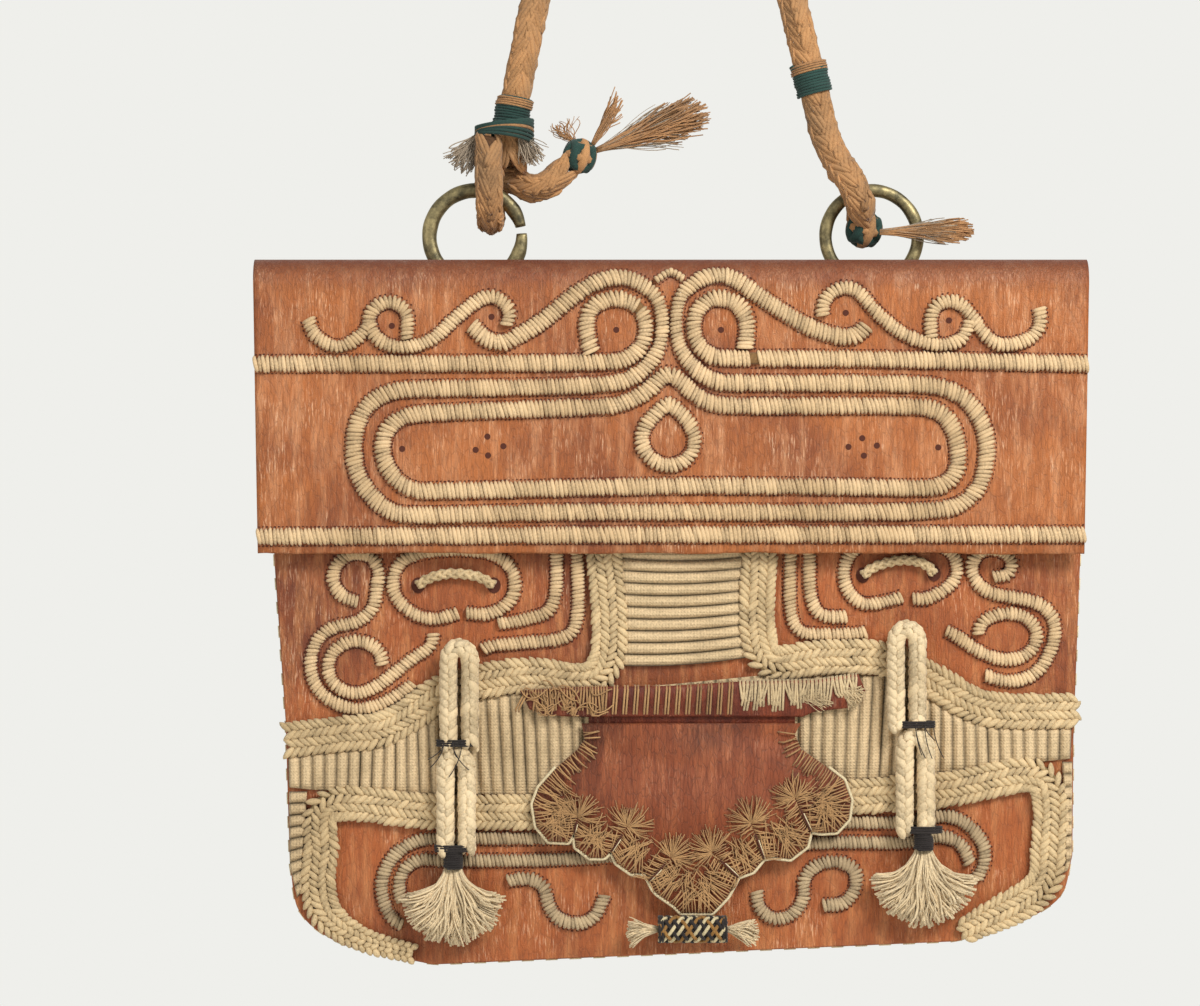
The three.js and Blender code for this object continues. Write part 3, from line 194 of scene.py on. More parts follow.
def smooth_line(points, step, closed=False):
    """A centripetal curve through the points, resampled in even steps."""
    pts = [np.asarray(p, float) for p in points]
    if closed:
        pts = [pts[-1]] + pts + [pts[0], pts[1]]
    else:
        pts = [2 * pts[0] - pts[1]] + pts + [2 * pts[-1] - pts[-2]]
    out = []
    for a, b, c, d in zip(pts, pts[1:], pts[2:], pts[3:]):
        t1 = np.linalg.norm(b - a) ** 0.5 + 1e-9
        t2 = t1 + np.linalg.norm(c - b) ** 0.5 + 1e-9
        t3 = t2 + np.linalg.norm(d - c) ** 0.5 + 1e-9
        for t in np.linspace(t1, t2, 12, endpoint=False):
            ab = (t1 - t) / t1 * a + t / t1 * b
            bc = (t2 - t) / (t2 - t1) * b + (t - t1) / (t2 - t1) * c
            cd = (t3 - t) / (t3 - t2) * c + (t - t2) / (t3 - t2) * d
            abc = (t2 - t) / t2 * ab + t / t2 * bc
            bcd = (t3 - t) / (t3 - t1) * bc + (t - t1) / (t3 - t1) * cd
            out.append((t2 - t) / (t2 - t1) * abc + (t - t1) / (t2 - t1) * bcd)
    out.append(pts[-2])
    return even_line(np.array(out), step)


def line_frames(path, closed=False):
    """Tangents and two normals carried along the path without twist."""
    tangent = np.gradient(path, axis=0)
    if closed:
        tangent[0] = tangent[-1] = path[1] - path[-2]
    tangent /= np.linalg.norm(tangent, axis=1)[:, None]
    helper = np.array([0.0, 1.0, 0.0]) if abs(tangent[0][1]) < 0.9 else np.array([1.0, 0.0, 0.0])
    normals = [np.cross(tangent[0], helper)]
    for t in tangent[1:]:
        kept = normals[-1] - t * np.dot(normals[-1], t)
        normals.append(kept / (np.linalg.norm(kept) + 1e-12))
    normals[0] /= np.linalg.norm(normals[0])
    normal = np.array(normals)
    return tangent, normal, np.cross(tangent, normal)


def around(angle, normal, binormal, flat=1.0):
    return np.cos(angle)[:, None] * normal + flat * np.sin(angle)[:, None] * binormal


class Solid:
    """Collects tubes and sheets, in layout millimetres, into one mesh with several finishes."""

    def __init__(self):
        self.verts = []
        self.faces = []
        self.slots = []
        self.shades = []
        self.count = 0
        self.chance = np.random.default_rng(2)

    def add(self, verts, faces, slot=0, shade=None):
        """Each strand gets its own shade, which the fibres' colour follows."""
        self.verts.append(np.asarray(verts, float))
        self.shades.append(np.full(len(verts), self.chance.random()) if shade is None else shade)
        self.faces.extend([[i + self.count for i in face] for face in faces])
        self.slots.extend([slot] * len(faces))
        self.count += len(verts)

    def loft(self, rows, slot=0, flip=False, rings=True, looped=False, shade=None):
        """Quads between rows of points. Rings close each row, and a loop joins the last row to the first."""
        rows = np.asarray(rows)
        height, count = rows.shape[:2]
        i = np.arange(height if looped else height - 1)[:, None] * count
        j = np.arange(count if rings else count - 1)[None]
        k = (j + 1) % count
        up = (i + count) % (height * count)
        faces = np.stack([i + j, i + k, up + k, up + j], axis=-1).reshape(-1, 4).tolist()
        if rings and not looped:
            faces.append(list(range(count))[::-1])
            faces.append([(height - 1) * count + s for s in range(count)])
        self.add(rows.reshape(-1, 3), [f[::-1] for f in faces] if flip else faces, slot, shade)

    def tube(self, path, radius, sides=6, slot=0, closed=False, flat=1.0):
        path = np.asarray(path, float)
        _, normal, binormal = line_frames(path, closed)
        radius = np.broadcast_to(radius, len(path))[:, None, None]
        angle = np.arange(sides) * 2 * math.pi / sides
        ring = np.cos(angle)[None, :, None] * normal[:, None]
        ring = ring + flat * np.sin(angle)[None, :, None] * binormal[:, None]
        rows = path[:, None] + radius * ring
        self.loft(rows[:-1] if closed else rows, slot, looped=closed)

    def braid(self, path, radius, pairs, strand, swing, lay, slots=(0,)):
        """A round plait: pairs of strands wind both ways, each over one and under one."""
        _, normal, binormal = line_frames(path)
        run = np.concatenate([[0], np.cumsum(np.linalg.norm(np.diff(path, axis=0), axis=1))])
        for way in (1, -1):
            for k in range(pairs):
                angle = way * 2 * math.pi * run / lay + 2 * math.pi * k / pairs
                reach = radius + swing * way * np.cos(pairs * angle)
                line = path + reach[:, None] * around(angle, normal, binormal)
                self.tube(line, strand, 6, slots[(2 * k + (way < 0)) % len(slots)])

    def coil(self, path, reach, thread, pitch, slot=0):
        """Thread wound round a path, side by side."""
        steps = 14
        fine = even_line(np.asarray(path, float), pitch / steps)
        _, normal, binormal = line_frames(fine)
        angle = np.arange(len(fine)) * 2 * math.pi / steps
        uneven = reach * (1 + 0.025 * np.sin(0.83 * angle + 1) + 0.02 * np.sin(2.3 * angle))
        self.tube(fine + uneven[:, None] * around(angle, normal, binormal), thread, 5, slot)

    def make(self, name, materials, body, nodes, slot):
        mesh = bpy.data.meshes.new(name)
        mesh.from_pydata(to_frame(np.concatenate(self.verts)).tolist(), [], self.faces)
        for mat in materials:
            mesh.materials.append(mat)
        mesh.polygons.foreach_set("material_index", self.slots)
        mesh.polygons.foreach_set("use_smooth", [True] * len(mesh.polygons))
        layer = mesh.attributes.new("shade", "FLOAT", "POINT")
        layer.data.foreach_set("value", np.concatenate(self.shades).astype(np.float32))
        mesh.update()
        return declare(name, mesh, body, nodes)


def declare(name, mesh, body, nodes):
    obj = bpy.data.objects.new(name, mesh)
    bpy.context.scene.collection.objects.link(obj)
    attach(obj, body)
    if nodes:
        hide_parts(*nodes)
    return obj


def place_tree():
    """Sets copies of a small piece on points: each point holds its turn and its size."""
    tree = bpy.data.node_groups.new("set_pieces_on_points", "GeometryNodeTree")
    for name, kind in (("Points", "Geometry"), ("Piece", "Object"), ("Seed", "Int"), ("Sway", "Float"),
                       ("Swell", "Float"), ("Finish", "Material")):
        tree.interface.new_socket(name, in_out="INPUT", socket_type="NodeSocket" + kind)
    tree.interface.new_socket("Result", in_out="OUTPUT", socket_type="NodeSocketGeometry")
    given = add_node(tree, "NodeGroupInput").outputs

    def step(kind, inputs, output=0, **settings):
        return add_node(tree, kind, settings, inputs).outputs[output]

    def stored(name):
        return step("GeometryNodeInputNamedAttribute", {"Name": name}, "Attribute", data_type="FLOAT_VECTOR")

    seed = given["Seed"]
    least = step("ShaderNodeMath", {0: 1, 1: given["Swell"]}, operation="SUBTRACT")
    most = step("ShaderNodeMath", {0: 1, 1: given["Swell"]}, operation="ADD")
    swell = step("FunctionNodeRandomValue", {2: least, 3: most, "Seed": seed}, 1)
    lowest = step("ShaderNodeMath", {0: given["Sway"], 1: -1}, operation="MULTIPLY")
    sway = step("FunctionNodeRandomValue", {0: lowest, 1: given["Sway"], "Seed": seed},
                data_type="FLOAT_VECTOR")
    shade = step("FunctionNodeRandomValue", {"Seed": seed}, 1)
    copies = step("GeometryNodeInstanceOnPoints", {
        "Points": given["Points"],
        "Instance": step("GeometryNodeObjectInfo", {"Object": given["Piece"]}, "Geometry"),
        "Rotation": step("FunctionNodeEulerToRotation", {0: stored("turn")}),
        "Scale": step("ShaderNodeVectorMath", {0: stored("size"), "Scale": swell}, operation="SCALE")})
    copies = step("GeometryNodeRotateInstances", {"Instances": copies, "Rotation": sway})
    copies = step("GeometryNodeStoreNamedAttribute", {"Geometry": copies, "Name": "shade", "Value": shade},
                  domain="INSTANCE")
    copies = step("GeometryNodeRealizeInstances", {0: copies})
    copies = step("GeometryNodeSetMaterial", {"Geometry": copies, "Material": given["Finish"]})
    add_node(tree, "NodeGroupOutput", inputs={0: copies})
    return tree


PLACER = place_tree()


def set_pieces(name, piece, spots, finish, chance, body, nodes):
    """spots are (place in layout mm, 3x3 turn, size in mm), and chance is (seed, sway, swell)."""
    points = bpy.data.meshes.new(name + "_points")
    points.from_pydata(to_frame([s[0] for s in spots]).tolist(), [], [])
    turns = [tuple(Matrix(s[1].tolist()).to_euler()) for s in spots]
    for key, values in (("turn", turns), ("size", [tuple(v / 1000 for v in s[2]) for s in spots])):
        layer = points.attributes.new(key, "FLOAT_VECTOR", "POINT")
        layer.data.foreach_set("vector", np.array(values, float).ravel())
    holder = bpy.data.objects.new(name + "_holder", points)
    bpy.context.scene.collection.objects.link(holder)
    modifier = holder.modifiers.new("place", "NODES")
    modifier.node_group = PLACER
    keys = {s.name: s.identifier for s in PLACER.interface.items_tree if s.in_out == "INPUT"}
    for key, value in zip(("Piece", "Finish", "Seed", "Sway", "Swell"), (piece, finish, *chance)):
        modifier[keys[key]] = value
    graph = bpy.context.evaluated_depsgraph_get()
    mesh = bpy.data.meshes.new_from_object(holder.evaluated_get(graph))
    mesh.name = name
    bpy.data.objects.remove(holder)
    mesh.polygons.foreach_set("use_smooth", [True] * len(mesh.polygons))
    return declare(name, mesh, body, nodes)


def small_piece(name, solid):
    """A unit shape that set_pieces copies; it is removed once all copies are made."""
    mesh = bpy.data.meshes.new(name)
    mesh.from_pydata(np.concatenate(solid.verts).tolist(), [], solid.faces)
    piece = bpy.data.objects.new(name, mesh)
    bpy.context.scene.collection.objects.link(piece)
    return piece


def fibre(name, colour, dirt, dirtiness, grain, rough=0.86, bump=0.25, shade=0.22):
    """Dull thread: its colour varies from strand to strand, with soft grime in patches and a hairy grain.

    The grain is in millimetres. Real hairs are finer, so they are drawn as coarse as they need to show.
    """
    mat, tree, bsdf = new_finish(name)
    place = add_node(tree, "ShaderNodeTexCoord").outputs["Object"]
    patches = add_node(tree, "ShaderNodeTexNoise", inputs={
        "Vector": place, "Scale": 1000 / GRIME_PATCH, "Detail": 6, "Roughness": 0.65})
    grime = add_node(tree, "ShaderNodeMapRange", inputs={
        "Value": patches.outputs[0], "From Min": 0.42, "From Max": 0.72, "To Max": dirtiness})
    stained = add_node(tree, "ShaderNodeMix", {"data_type": "RGBA"}, {
        0: grime.outputs[0], 6: linear(colour), 7: linear(dirt)})
    strand = add_node(tree, "ShaderNodeAttribute", {"attribute_name": "shade"})
    hairs = add_node(tree, "ShaderNodeTexNoise", inputs={"Vector": place, "Scale": 1000 / grain, "Detail": 4})
    both = add_node(tree, "ShaderNodeMath", {"operation": "MULTIPLY_ADD"}, {
        0: strand.outputs["Fac"], 1: shade, 2: hairs.outputs[0]})
    light = add_node(tree, "ShaderNodeMapRange", inputs={
        "Value": both.outputs[0], "From Min": 0.3, "From Max": 0.8, "To Min": 0.62, "To Max": 1.2})
    tint = add_node(tree, "ShaderNodeVectorMath", {"operation": "SCALE"}, {
        0: stained.outputs[2], "Scale": light.outputs[0]})
    relief = add_node(tree, "ShaderNodeBump", inputs={
        "Height": hairs.outputs[0], "Strength": bump, "Distance": 0.0004})
    feed(tree, bsdf, {"Base Color": tint.outputs[0], "Normal": relief.outputs[0], "Roughness": rough,
                      "Specular IOR Level": 0.25, "Sheen Weight": 0.12})
    return mat


def bundle(solid, rng, count, start, along, across, length, spread, thick, radius,
           slot=0, droop=0.0, curl=1.2):
    """Loose threads: they leave start side by side, fan out across and wander as they go."""
    start, along, across = (np.asarray(v, float) for v in (start, along, across))
    depth = np.cross(along, across)
    t = np.linspace(0, 1, 9)
    for _ in range(count):
        fan = rng.uniform(-1, 1)
        layer = rng.normal(0, 0.4)
        reach = length * rng.uniform(0.72, 1.0) * (1 - 0.12 * fan * fan)
        phase = rng.uniform(0, 6.28, 2)
        side = spread * fan * (t ** 1.25) + curl * t * np.sin(5 * t + phase[0])
        back = thick * layer * np.sqrt(t + 0.04) + 0.5 * curl * t * np.sin(6 * t + phase[1])
        line = (start + np.outer(reach * t, along) + np.outer(side + rng.uniform(-1, 1) * 0.8, across)
                + np.outer(back, depth) - np.outer(droop * t * t, (0, 0, 1)))
        solid.tube(line, radius * rng.uniform(0.7, 1.2), 4, slot)


def ball_knot(solid, centre, radius):
    """A ball of rope: three rounds in each of three directions, with a thread between the rounds."""
    turn = np.linspace(0, 2 * math.pi, 33)
    tilt = np.array(Matrix.Rotation(0.5, 3, (0.4, 0.5, 0.76)))
    strand = radius * 0.27
    for axis in range(3):
        for k in (-1, 0, 1):
            lift = k * strand * 1.75
            reach = math.sqrt(max((radius - strand * (0.95 + 0.12 * axis)) ** 2 - lift * lift, 1))
            ring = np.zeros((33, 3))
            ring[:, axis] = lift
            ring[:, (axis + 1) % 3] = reach * np.cos(turn)
            ring[:, (axis + 2) % 3] = reach * np.sin(turn)
            solid.tube(ring @ tilt.T + centre, strand, 7, 0 if k == 0 and axis != 1 else 1, closed=True)
            ring[:, axis] += strand * 0.85
            solid.tube(ring @ tilt.T * 1.03 + centre, 0.28, 5, 0, closed=True)


def round_plait(path, reach, columns, pitch, size, lean, phase=0.0):
    """Spots for the lobes round a plaited cord: they lean to and fro from column to column."""
    line = even_line(np.asarray(path, float), pitch / 2)
    tangent, normal, binormal = line_frames(line)
    spots = []
    for i in range(len(line)):
        for column in range(i % 2, columns, 2):
            angle = 2 * math.pi * column / columns + phase
            out = math.cos(angle) * normal[i] + math.sin(angle) * binormal[i]
            tilt = math.radians(lean if column % 2 else -lean)
            along = math.cos(tilt) * tangent[i] + math.sin(tilt) * np.cross(tangent[i], out)
            spots.append((line[i] + reach * out, np.stack([np.cross(along, out), along, out], 1), size))
    return spots


# Vegetable fibre, plaited by hand: dry tan strands with greyer grime where hands and the ring touch them
rope_fibre = fibre("tan_plaited_fibre", "#a77b50", "#6a5a45", 0.6, 0.667, shade=0.35)
# The same fibre in the shadow between the strands
dark_fibre = fibre("shadowed_rope_fibre", "#5a3e26", "#362618", 0.5, 0.667)
# The same fibre, bleached and dusty at its loose ends
grey_fibre = fibre("greyed_frayed_fibre", "#a3917a", "#6d675f", 0.6, 0.667)
# Dyed thread, hard twisted, so nearly black in the folds
green_thread = fibre("dark_green_thread", "#27423b", "#121c1a", 0.5, 0.4)
black_thread = fibre("black_thread", "#2b2522", "#0f0d0c", 0.4, 0.4)

rng = np.random.default_rng(7)
rope_path = smooth_line(ROPE_ROUTE, 1.5)
yarn = np.linspace(-0.5, 0.5, 6)
bulge = np.sqrt(np.maximum(1 - (1.9 * yarn) ** 2, 0.02))
lobe_shape = Solid()
for across in (-0.26, 0.0, 0.26):
    yarn_path = np.stack([across * bulge, yarn, 0.32 * bulge - 0.2 - 1.2 * across ** 2], 1)
    lobe_shape.tube(yarn_path, 0.2 * bulge + 0.03, 5)
rope_lobe = small_piece("rope_lobe", lobe_shape)

rope = Solid()
rope.tube(rope_path, ROPE_CORE, 10)
strap = rope.make("strap_rope_core", [dark_fibre], "strap", ["strap_rope"], "rope")
spots = round_plait(rope_path, ROPE_CORE, ROPE_COLUMNS, ROPE_LOBE_PITCH, (4.9, 10.4, 3.5), ROPE_LOBE_LEAN)
rope_plait = set_pieces("strap_rope_plait", rope_lobe, spots, rope_fibre, (3, *ROPE_RANDOM),
                        "strap", [])

hitch_path = smooth_line(HITCH_ROUTE, 1.2)
spots = round_plait(hitch_path[6:], TURN_CORE, ROPE_COLUMNS, ROPE_LOBE_PITCH, (4.6, 10.0, 3.3), ROPE_LOBE_LEAN)
hitch_plait = set_pieces("strap_turn_plait", rope_lobe, spots, rope_fibre, (6, *ROPE_RANDOM),
                         "strap", [])
hitch = Solid()
hitch.tube(hitch_path[3:], TURN_CORE, 10, 1)
bundle(hitch, rng, 110, (-64, 9.5, 45), (-0.55, -0.1, -0.8), (0.8, 0, -0.6), length=17, spread=5.5, thick=2.4,
       radius=0.17, slot=2)
bundle(hitch, rng, 80, (-51.5, 12, 47), (0.45, -0.1, -0.9), (0.9, 0, 0.4), length=15, spread=4.5, thick=2.4,
       radius=0.17, slot=2)
hitch_piece = hitch.make("strap_turn_round_ring", [rope_fibre, dark_fibre, grey_fibre], "strap",
                         ["strap_hitch_left"], "rope")

bindings = Solid()
for height, side in WHIPPINGS:
    on_side = rope_path[(rope_path[:, 0] + LAYOUT_ORIGIN[0]) * side > 0]
    part = on_side[np.abs(on_side[:, 2] - height) < WHIPPING_HALF]
    part = part[np.argsort(part[:, 2])]
    bindings.coil(part, 5.75, 0.55, 0.95)
    bindings.coil(part[-3:], 6.1, 0.4, 0.8, slot=1)
turn = np.linspace(0, 2 * math.pi, 29)
for k in range(HITCH_RING_TURNS):
    height = 47.6 - 0.85 * k + 1.5 * np.cos(turn + 0.4 * k)
    ring = np.stack([-56.3 + 9.6 * np.cos(turn), 11.6 + 9.4 * np.sin(turn + 0.3), height], 1)
    bindings.tube(ring, 0.62, 5, 1 if k == 3 else 0, closed=True)
whippings = bindings.make("strap_thread_whippings", [green_thread, rope_fibre], "strap",
                          ["strap_whipping_left", "strap_whipping_right"], "whipping_thread")

knots = Solid()
ball_knot(knots, KNOT_LEFT, 6.3)
ball_knot(knots, KNOT_RIGHT, 6.7)
knot_piece = knots.make("strap_ball_knots", [rope_fibre, green_thread], "strap",
                        ["strap_knot_left", "strap_knot_right"], "whipping_thread")

frays = Solid()
out = np.array([math.cos(LEFT_FRAY_RISE), 0, math.sin(LEFT_FRAY_RISE)])
up = np.array([-math.sin(LEFT_FRAY_RISE), 0, math.cos(LEFT_FRAY_RISE)])
bundle(frays, rng, 270, KNOT_LEFT + 5.6 * out, out, up, length=42, spread=5.6, thick=3.2, radius=0.2, curl=1.9)
bundle(frays, rng, 60, KNOT_LEFT + 5.6 * out, out, up, length=34, spread=8.0, thick=3.2, radius=0.14, slot=1)
bundle(frays, rng, 36, KNOT_LEFT + 5.0 * up, up - 0.3 * out, out, length=9, spread=6.0, thick=3.0, radius=0.13,
       curl=2.2)
bundle(frays, rng, 60, KNOT_LEFT + 5.2 * out + 2.0 * up, 0.75 * out + 0.6 * up, up, length=21, spread=3.5,
       thick=2.4, radius=0.18)
for count, length, spread, radius, slot in ((220, 33, 3.6, 0.2, 0), (50, 27, 4.0, 0.14, 1)):
    bundle(frays, rng, count, RIGHT_FRAY, (1, 0, 0.04), (0, 0, 1), length, spread, 1.0, radius, slot, 0.6, 0.7)
fray_piece = frays.make("strap_frayed_ends", [rope_fibre, grey_fibre], "strap",
                        ["strap_fray_left", "strap_fray_right"], "rope")


# The rings: two hand-forged rings of dark aged brass, the left one split at its right side.
# Each is held to the back by a folded tab of dark leather, sewn with pale thread.

# Each ring: its centre's x and half the thickness of its bar
RINGS = {"ring_left": (-66.3, 2.5), "ring_right": (69.3, 2.15)}
RING_RADIUS = 15.8
RING_CENTRE_Z = 9.5
RING_Y = 16.1
RING_STEPS = 96
RING_SIDES = 16
SPLIT = 2.4
TAB_HALF_WIDTH = 3.9
TAB_DROP = 26
TAB_STITCH_PITCH = 2.2

# Cast and hammered brass, never polished: brown in the hollows and a dull yellow where the strap rubs
aged_brass, tree, shader = new_finish("dull_aged_brass")
place = add_node(tree, "ShaderNodeTexCoord").outputs["Object"]
tarnish = add_node(tree, "ShaderNodeTexNoise", inputs={
    "Vector": place, "Scale": 1000 / 6.25, "Detail": 8, "Roughness": 0.7}).outputs[0]
patina = add_node(tree, "ShaderNodeValToRGB", inputs={"Fac": tarnish})
for stop, position, colour in zip(patina.color_ramp.elements, (0.38, 0.68), ("#4a4534", "#a3946a")):
    stop.position = position
    stop.color = linear(colour)
dents = add_node(tree, "ShaderNodeTexNoise", inputs={"Vector": place, "Scale": 1000 / 2.38, "Detail": 3})
hammered = add_node(tree, "ShaderNodeBump", inputs={
    "Height": dents.outputs[0], "Strength": 0.35, "Distance": 0.0004})
wear = add_node(tree, "ShaderNodeMapRange", inputs={"Value": tarnish, "To Min": 0.62, "To Max": 0.36})
feed(tree, shader, {"Base Color": patina.outputs[0],
                    "Normal": hammered.outputs[0], "Roughness": wear.outputs[0],
                    "Metallic": 0.9})


def leather(name, base, light, dark, cracks=0.5, rough=0.5, shaded_fold_z=None, highlight_flecks=0.55):
    """Worn leather: patchy brown with fine upright creases and cracks, pale flecks of painted highlight on the
    creases, and painted shade along the top fold when shaded_fold_z is given.

    The sizes of its patterns are in millimetres, across and up. Its pores are drawn coarser than real ones.
    """
    mat, tree, bsdf = new_finish(name)
    place = add_node(tree, "ShaderNodeTexCoord").outputs["Object"]

    def scaled(across, up):
        size = (1000 / across, 1000 / across, 1000 / up)
        return add_node(tree, "ShaderNodeMapping", inputs={"Vector": place, "Scale": size}).outputs[0]

    def cloud(across, up, detail=5):
        return add_node(tree, "ShaderNodeTexNoise", inputs={
            "Vector": scaled(across, up), "Scale": 1, "Detail": detail, "Roughness": 0.62}).outputs[0]

    def spread(value, low, high, least=0.0, most=1.0):
        return add_node(tree, "ShaderNodeMapRange", inputs={
            "Value": value, "From Min": low, "From Max": high, "To Min": least, "To Max": most}).outputs[0]

    def blend(share, first, second):
        both = {0: share, 6: first, 7: second}
        return add_node(tree, "ShaderNodeMix", {"data_type": "RGBA"}, both).outputs[2]

    def times(first, second):
        return add_node(tree, "ShaderNodeMath", {"operation": "MULTIPLY"}, {0: first, 1: second}).outputs[0]

    patches = cloud(41.7, 41.7)
    zones = cloud(17.24, 17.24)
    streaks = cloud(3.33, 22.7)
    creases = cloud(0.5, 4.76, 3)
    pores = cloud(0.526, 0.526, 2)
    cells = add_node(tree, "ShaderNodeTexVoronoi", {"feature": "DISTANCE_TO_EDGE"}, {
        "Vector": scaled(1.22, 4.76), "Scale": 1})
    crack = spread(cells.outputs["Distance"], 0, 0.09)
    colour = blend(spread(patches, 0.42, 0.68), linear(base), linear(dark))
    colour = blend(spread(streaks, 0.46, 0.72, 0, 0.6), colour, linear(light))
    # Painted highlight: pale flecks on the creases, in patches, stand in for glints on the rubbed grain
    painted_highlight = times(spread(zones, 0.48, 0.62), spread(creases, 0.55, 0.66, 0, highlight_flecks))
    colour = blend(painted_highlight, colour, linear("#e2bd99"))
    # Painted shade: the leather darkens towards the top of the rounded fold, where it turns over
    if shaded_fold_z is not None:
        height = add_node(tree, "ShaderNodeSeparateXYZ", inputs={0: place}).outputs["Z"]
        colour = blend(spread(height, shaded_fold_z - 0.012, shaded_fold_z - 0.001, 0, 0.85), colour, linear("#5e2a15"))
    tone = times(spread(crack, 0, 1, 1 - 0.4 * cracks, 1), spread(creases, 0.35, 0.62, 0.8, 1.08))
    tint = add_node(tree, "ShaderNodeVectorMath", {"operation": "SCALE"}, {0: colour, "Scale": tone})
    fine = add_node(tree, "ShaderNodeMath", inputs={0: creases, 1: pores})
    height = add_node(tree, "ShaderNodeMath", {"operation": "MULTIPLY_ADD"}, {
        0: crack, 1: 0.6 * cracks, 2: fine.outputs[0]})
    relief = add_node(tree, "ShaderNodeBump", inputs={
        "Height": height.outputs[0], "Strength": 0.5, "Distance": 0.0004})
    feed(tree, bsdf, {"Base Color": tint.outputs[0], "Normal": relief.outputs[0], "Specular IOR Level": 0.4,
                      "Roughness": spread(streaks, 0.3, 0.75, rough + 0.14, rough - 0.1)})
    return mat


# Thick leather, dyed dark red brown: duller than the bag's own, with few flecks of painted highlight
dark_leather = leather("dark_red_brown_leather", "#743018", "#9a4c2a", "#47190e", 0.7, 0.6, highlight_flecks=0.2)
# Waxed linen thread, pale and clean
pale_stitch = fibre("pale_sewing_thread", "#d8c8a2", "#8d7448", 0.35, 0.4)

for ring_name, (x, half) in RINGS.items():
    split = SPLIT / RING_RADIUS if ring_name == "ring_left" else 0.0
    turn = np.linspace(split / 2, 2 * math.pi - split / 2, RING_STEPS + 1) + math.radians(8)
    outward = np.stack([np.cos(turn), np.zeros(len(turn)), np.sin(turn)], 1)
    centre = np.array([x, RING_Y, RING_CENTRE_Z]) + RING_RADIUS * outward
    corner = (np.arange(RING_SIDES) + 0.5) * 2 * math.pi / RING_SIDES
    square = 1 / np.maximum(np.abs(np.cos(corner)), np.abs(np.sin(corner)))
    reach = half * np.minimum(square, 1.09)
    from_end = np.minimum(np.arange(len(turn)), RING_STEPS - np.arange(len(turn)))
    taper = np.clip(0.7 + 0.3 * from_end / 6, 0, 1) if split else 1
    size = taper * (1 + 0.02 * np.sin(5 * turn) + 0.015 * np.sin(13 * turn + 1))
    rows = centre[:, None] + size[:, None, None] * (
        (reach * np.cos(corner))[None, :, None] * outward[:, None]
        + (reach * np.sin(corner))[None, :, None] * np.array([0, 1, 0]))
    ring = Solid()
    ring.loft(rows if split else rows[:-1], looped=not split)
    ring.make(ring_name + "_forged", [aged_brass], ring_name, [ring_name], "ring_metal")

tabs = Solid()
pivot = RING_CENTRE_Z - RING_RADIUS
for x, _ in RINGS.values():
    section = [(10.4, pivot - TAB_DROP), (10.4, pivot - 5)]
    section += [(RING_Y + 4.4 * math.cos(a), pivot + 4.4 * math.sin(a)) for a in np.linspace(math.pi, 0, 14)]
    section += [(13.4, pivot - 11.6), (12.6, pivot - TAB_DROP)]
    tabs.tube(smooth_line([(x, y, z) for y, z in section], 0.8), TAB_HALF_WIDTH, 10, flat=0.22)
    for z in np.arange(pivot - 24, pivot - 12, TAB_STITCH_PITCH):
        for side in (x - 2.6, x + 2.6):
            tabs.tube([(side, 13.6, z), (side, 14.2, z + 0.8), (side, 13.6, z + 1.6)], 0.25, 5, 1)
tabs.make("ring_tab_leather", [dark_leather, pale_stitch], "bag", ["ring_tab_left", "ring_tab_right"],
          "leather_dark")


# The bag itself: two panels of orange-brown leather, sewn to a narrow gusset, open at the top under the flap.
# The front carries all of the raised work.

OUTLINE_LEFT = ((-133.5, -2.8), (-133, -101), (-129.2, -155), (-127.8, -203))
OUTLINE_CORNER_LEFT = ((-127.8, -203), (-124.5, -219), (-112, -229), (-80, -236.6))
OUTLINE_CORNER_RIGHT = ((96, -228.8), (118, -222), (131, -213.5), (134.8, -200))
OUTLINE_RIGHT = ((135.2, -160), (137.5, -99), (137, -2.8))
PANEL_FACES = {"front_panel": (-10.0, -7.5), "back_panel": (7.5, 10.0)}
GUSSET_HALF = 7.2
GUSSET_THICKNESS = 2.0
GUSSET_INSET = 0.2
SEAM_STITCH = 4.0

# Vegetable-tanned leather, oiled and worn: orange brown, rubbed pale in streaks, darker where it was handled
tan_leather = leather("worn_orange_brown_leather", "#a05526", "#c98650", "#703516", 0.55, 0.52, highlight_flecks=0.4)
bag_outline = np.concatenate([
    np.array(OUTLINE_LEFT), smooth_line(OUTLINE_CORNER_LEFT, 2.0)[1:],
    smooth_line(OUTLINE_CORNER_RIGHT, 2.0), np.array(OUTLINE_RIGHT)])


def upright(line, y):
    """Points (x, z) set at depth y."""
    return np.stack([line[:, 0], np.broadcast_to(y, len(line)), line[:, 1]], 1)


def plate(solid, outline, near, far, round_over=0.5):
    """Leather cut to an outline in the XZ plane, its edges rounded over."""
    edge = np.roll(outline, -1, 0) - np.roll(outline, 1, 0)
    inward = np.stack([-edge[:, 1], edge[:, 0]], 1) / (np.linalg.norm(edge, axis=1)[:, None] + 1e-9)
    area = np.sum(outline[:, 0] * np.roll(outline[:, 1], -1) - np.roll(outline[:, 0], -1) * outline[:, 1])
    if area < 0:
        inward = -inward
    levels = ((round_over, near), (0, near + round_over), (0, far - round_over), (round_over, far))
    solid.loft([upright(outline + inward * inset, y) for inset, y in levels], flip=area < 0)


for part_name, (near, far) in PANEL_FACES.items():
    panel = Solid()
    plate(panel, bag_outline, near, far)
    made = panel.make(part_name + "_leather", [tan_leather], "bag", [part_name], "leather")
    for polygon in made.data.polygons:
        if len(polygon.vertices) > 4:
            polygon.use_smooth = False

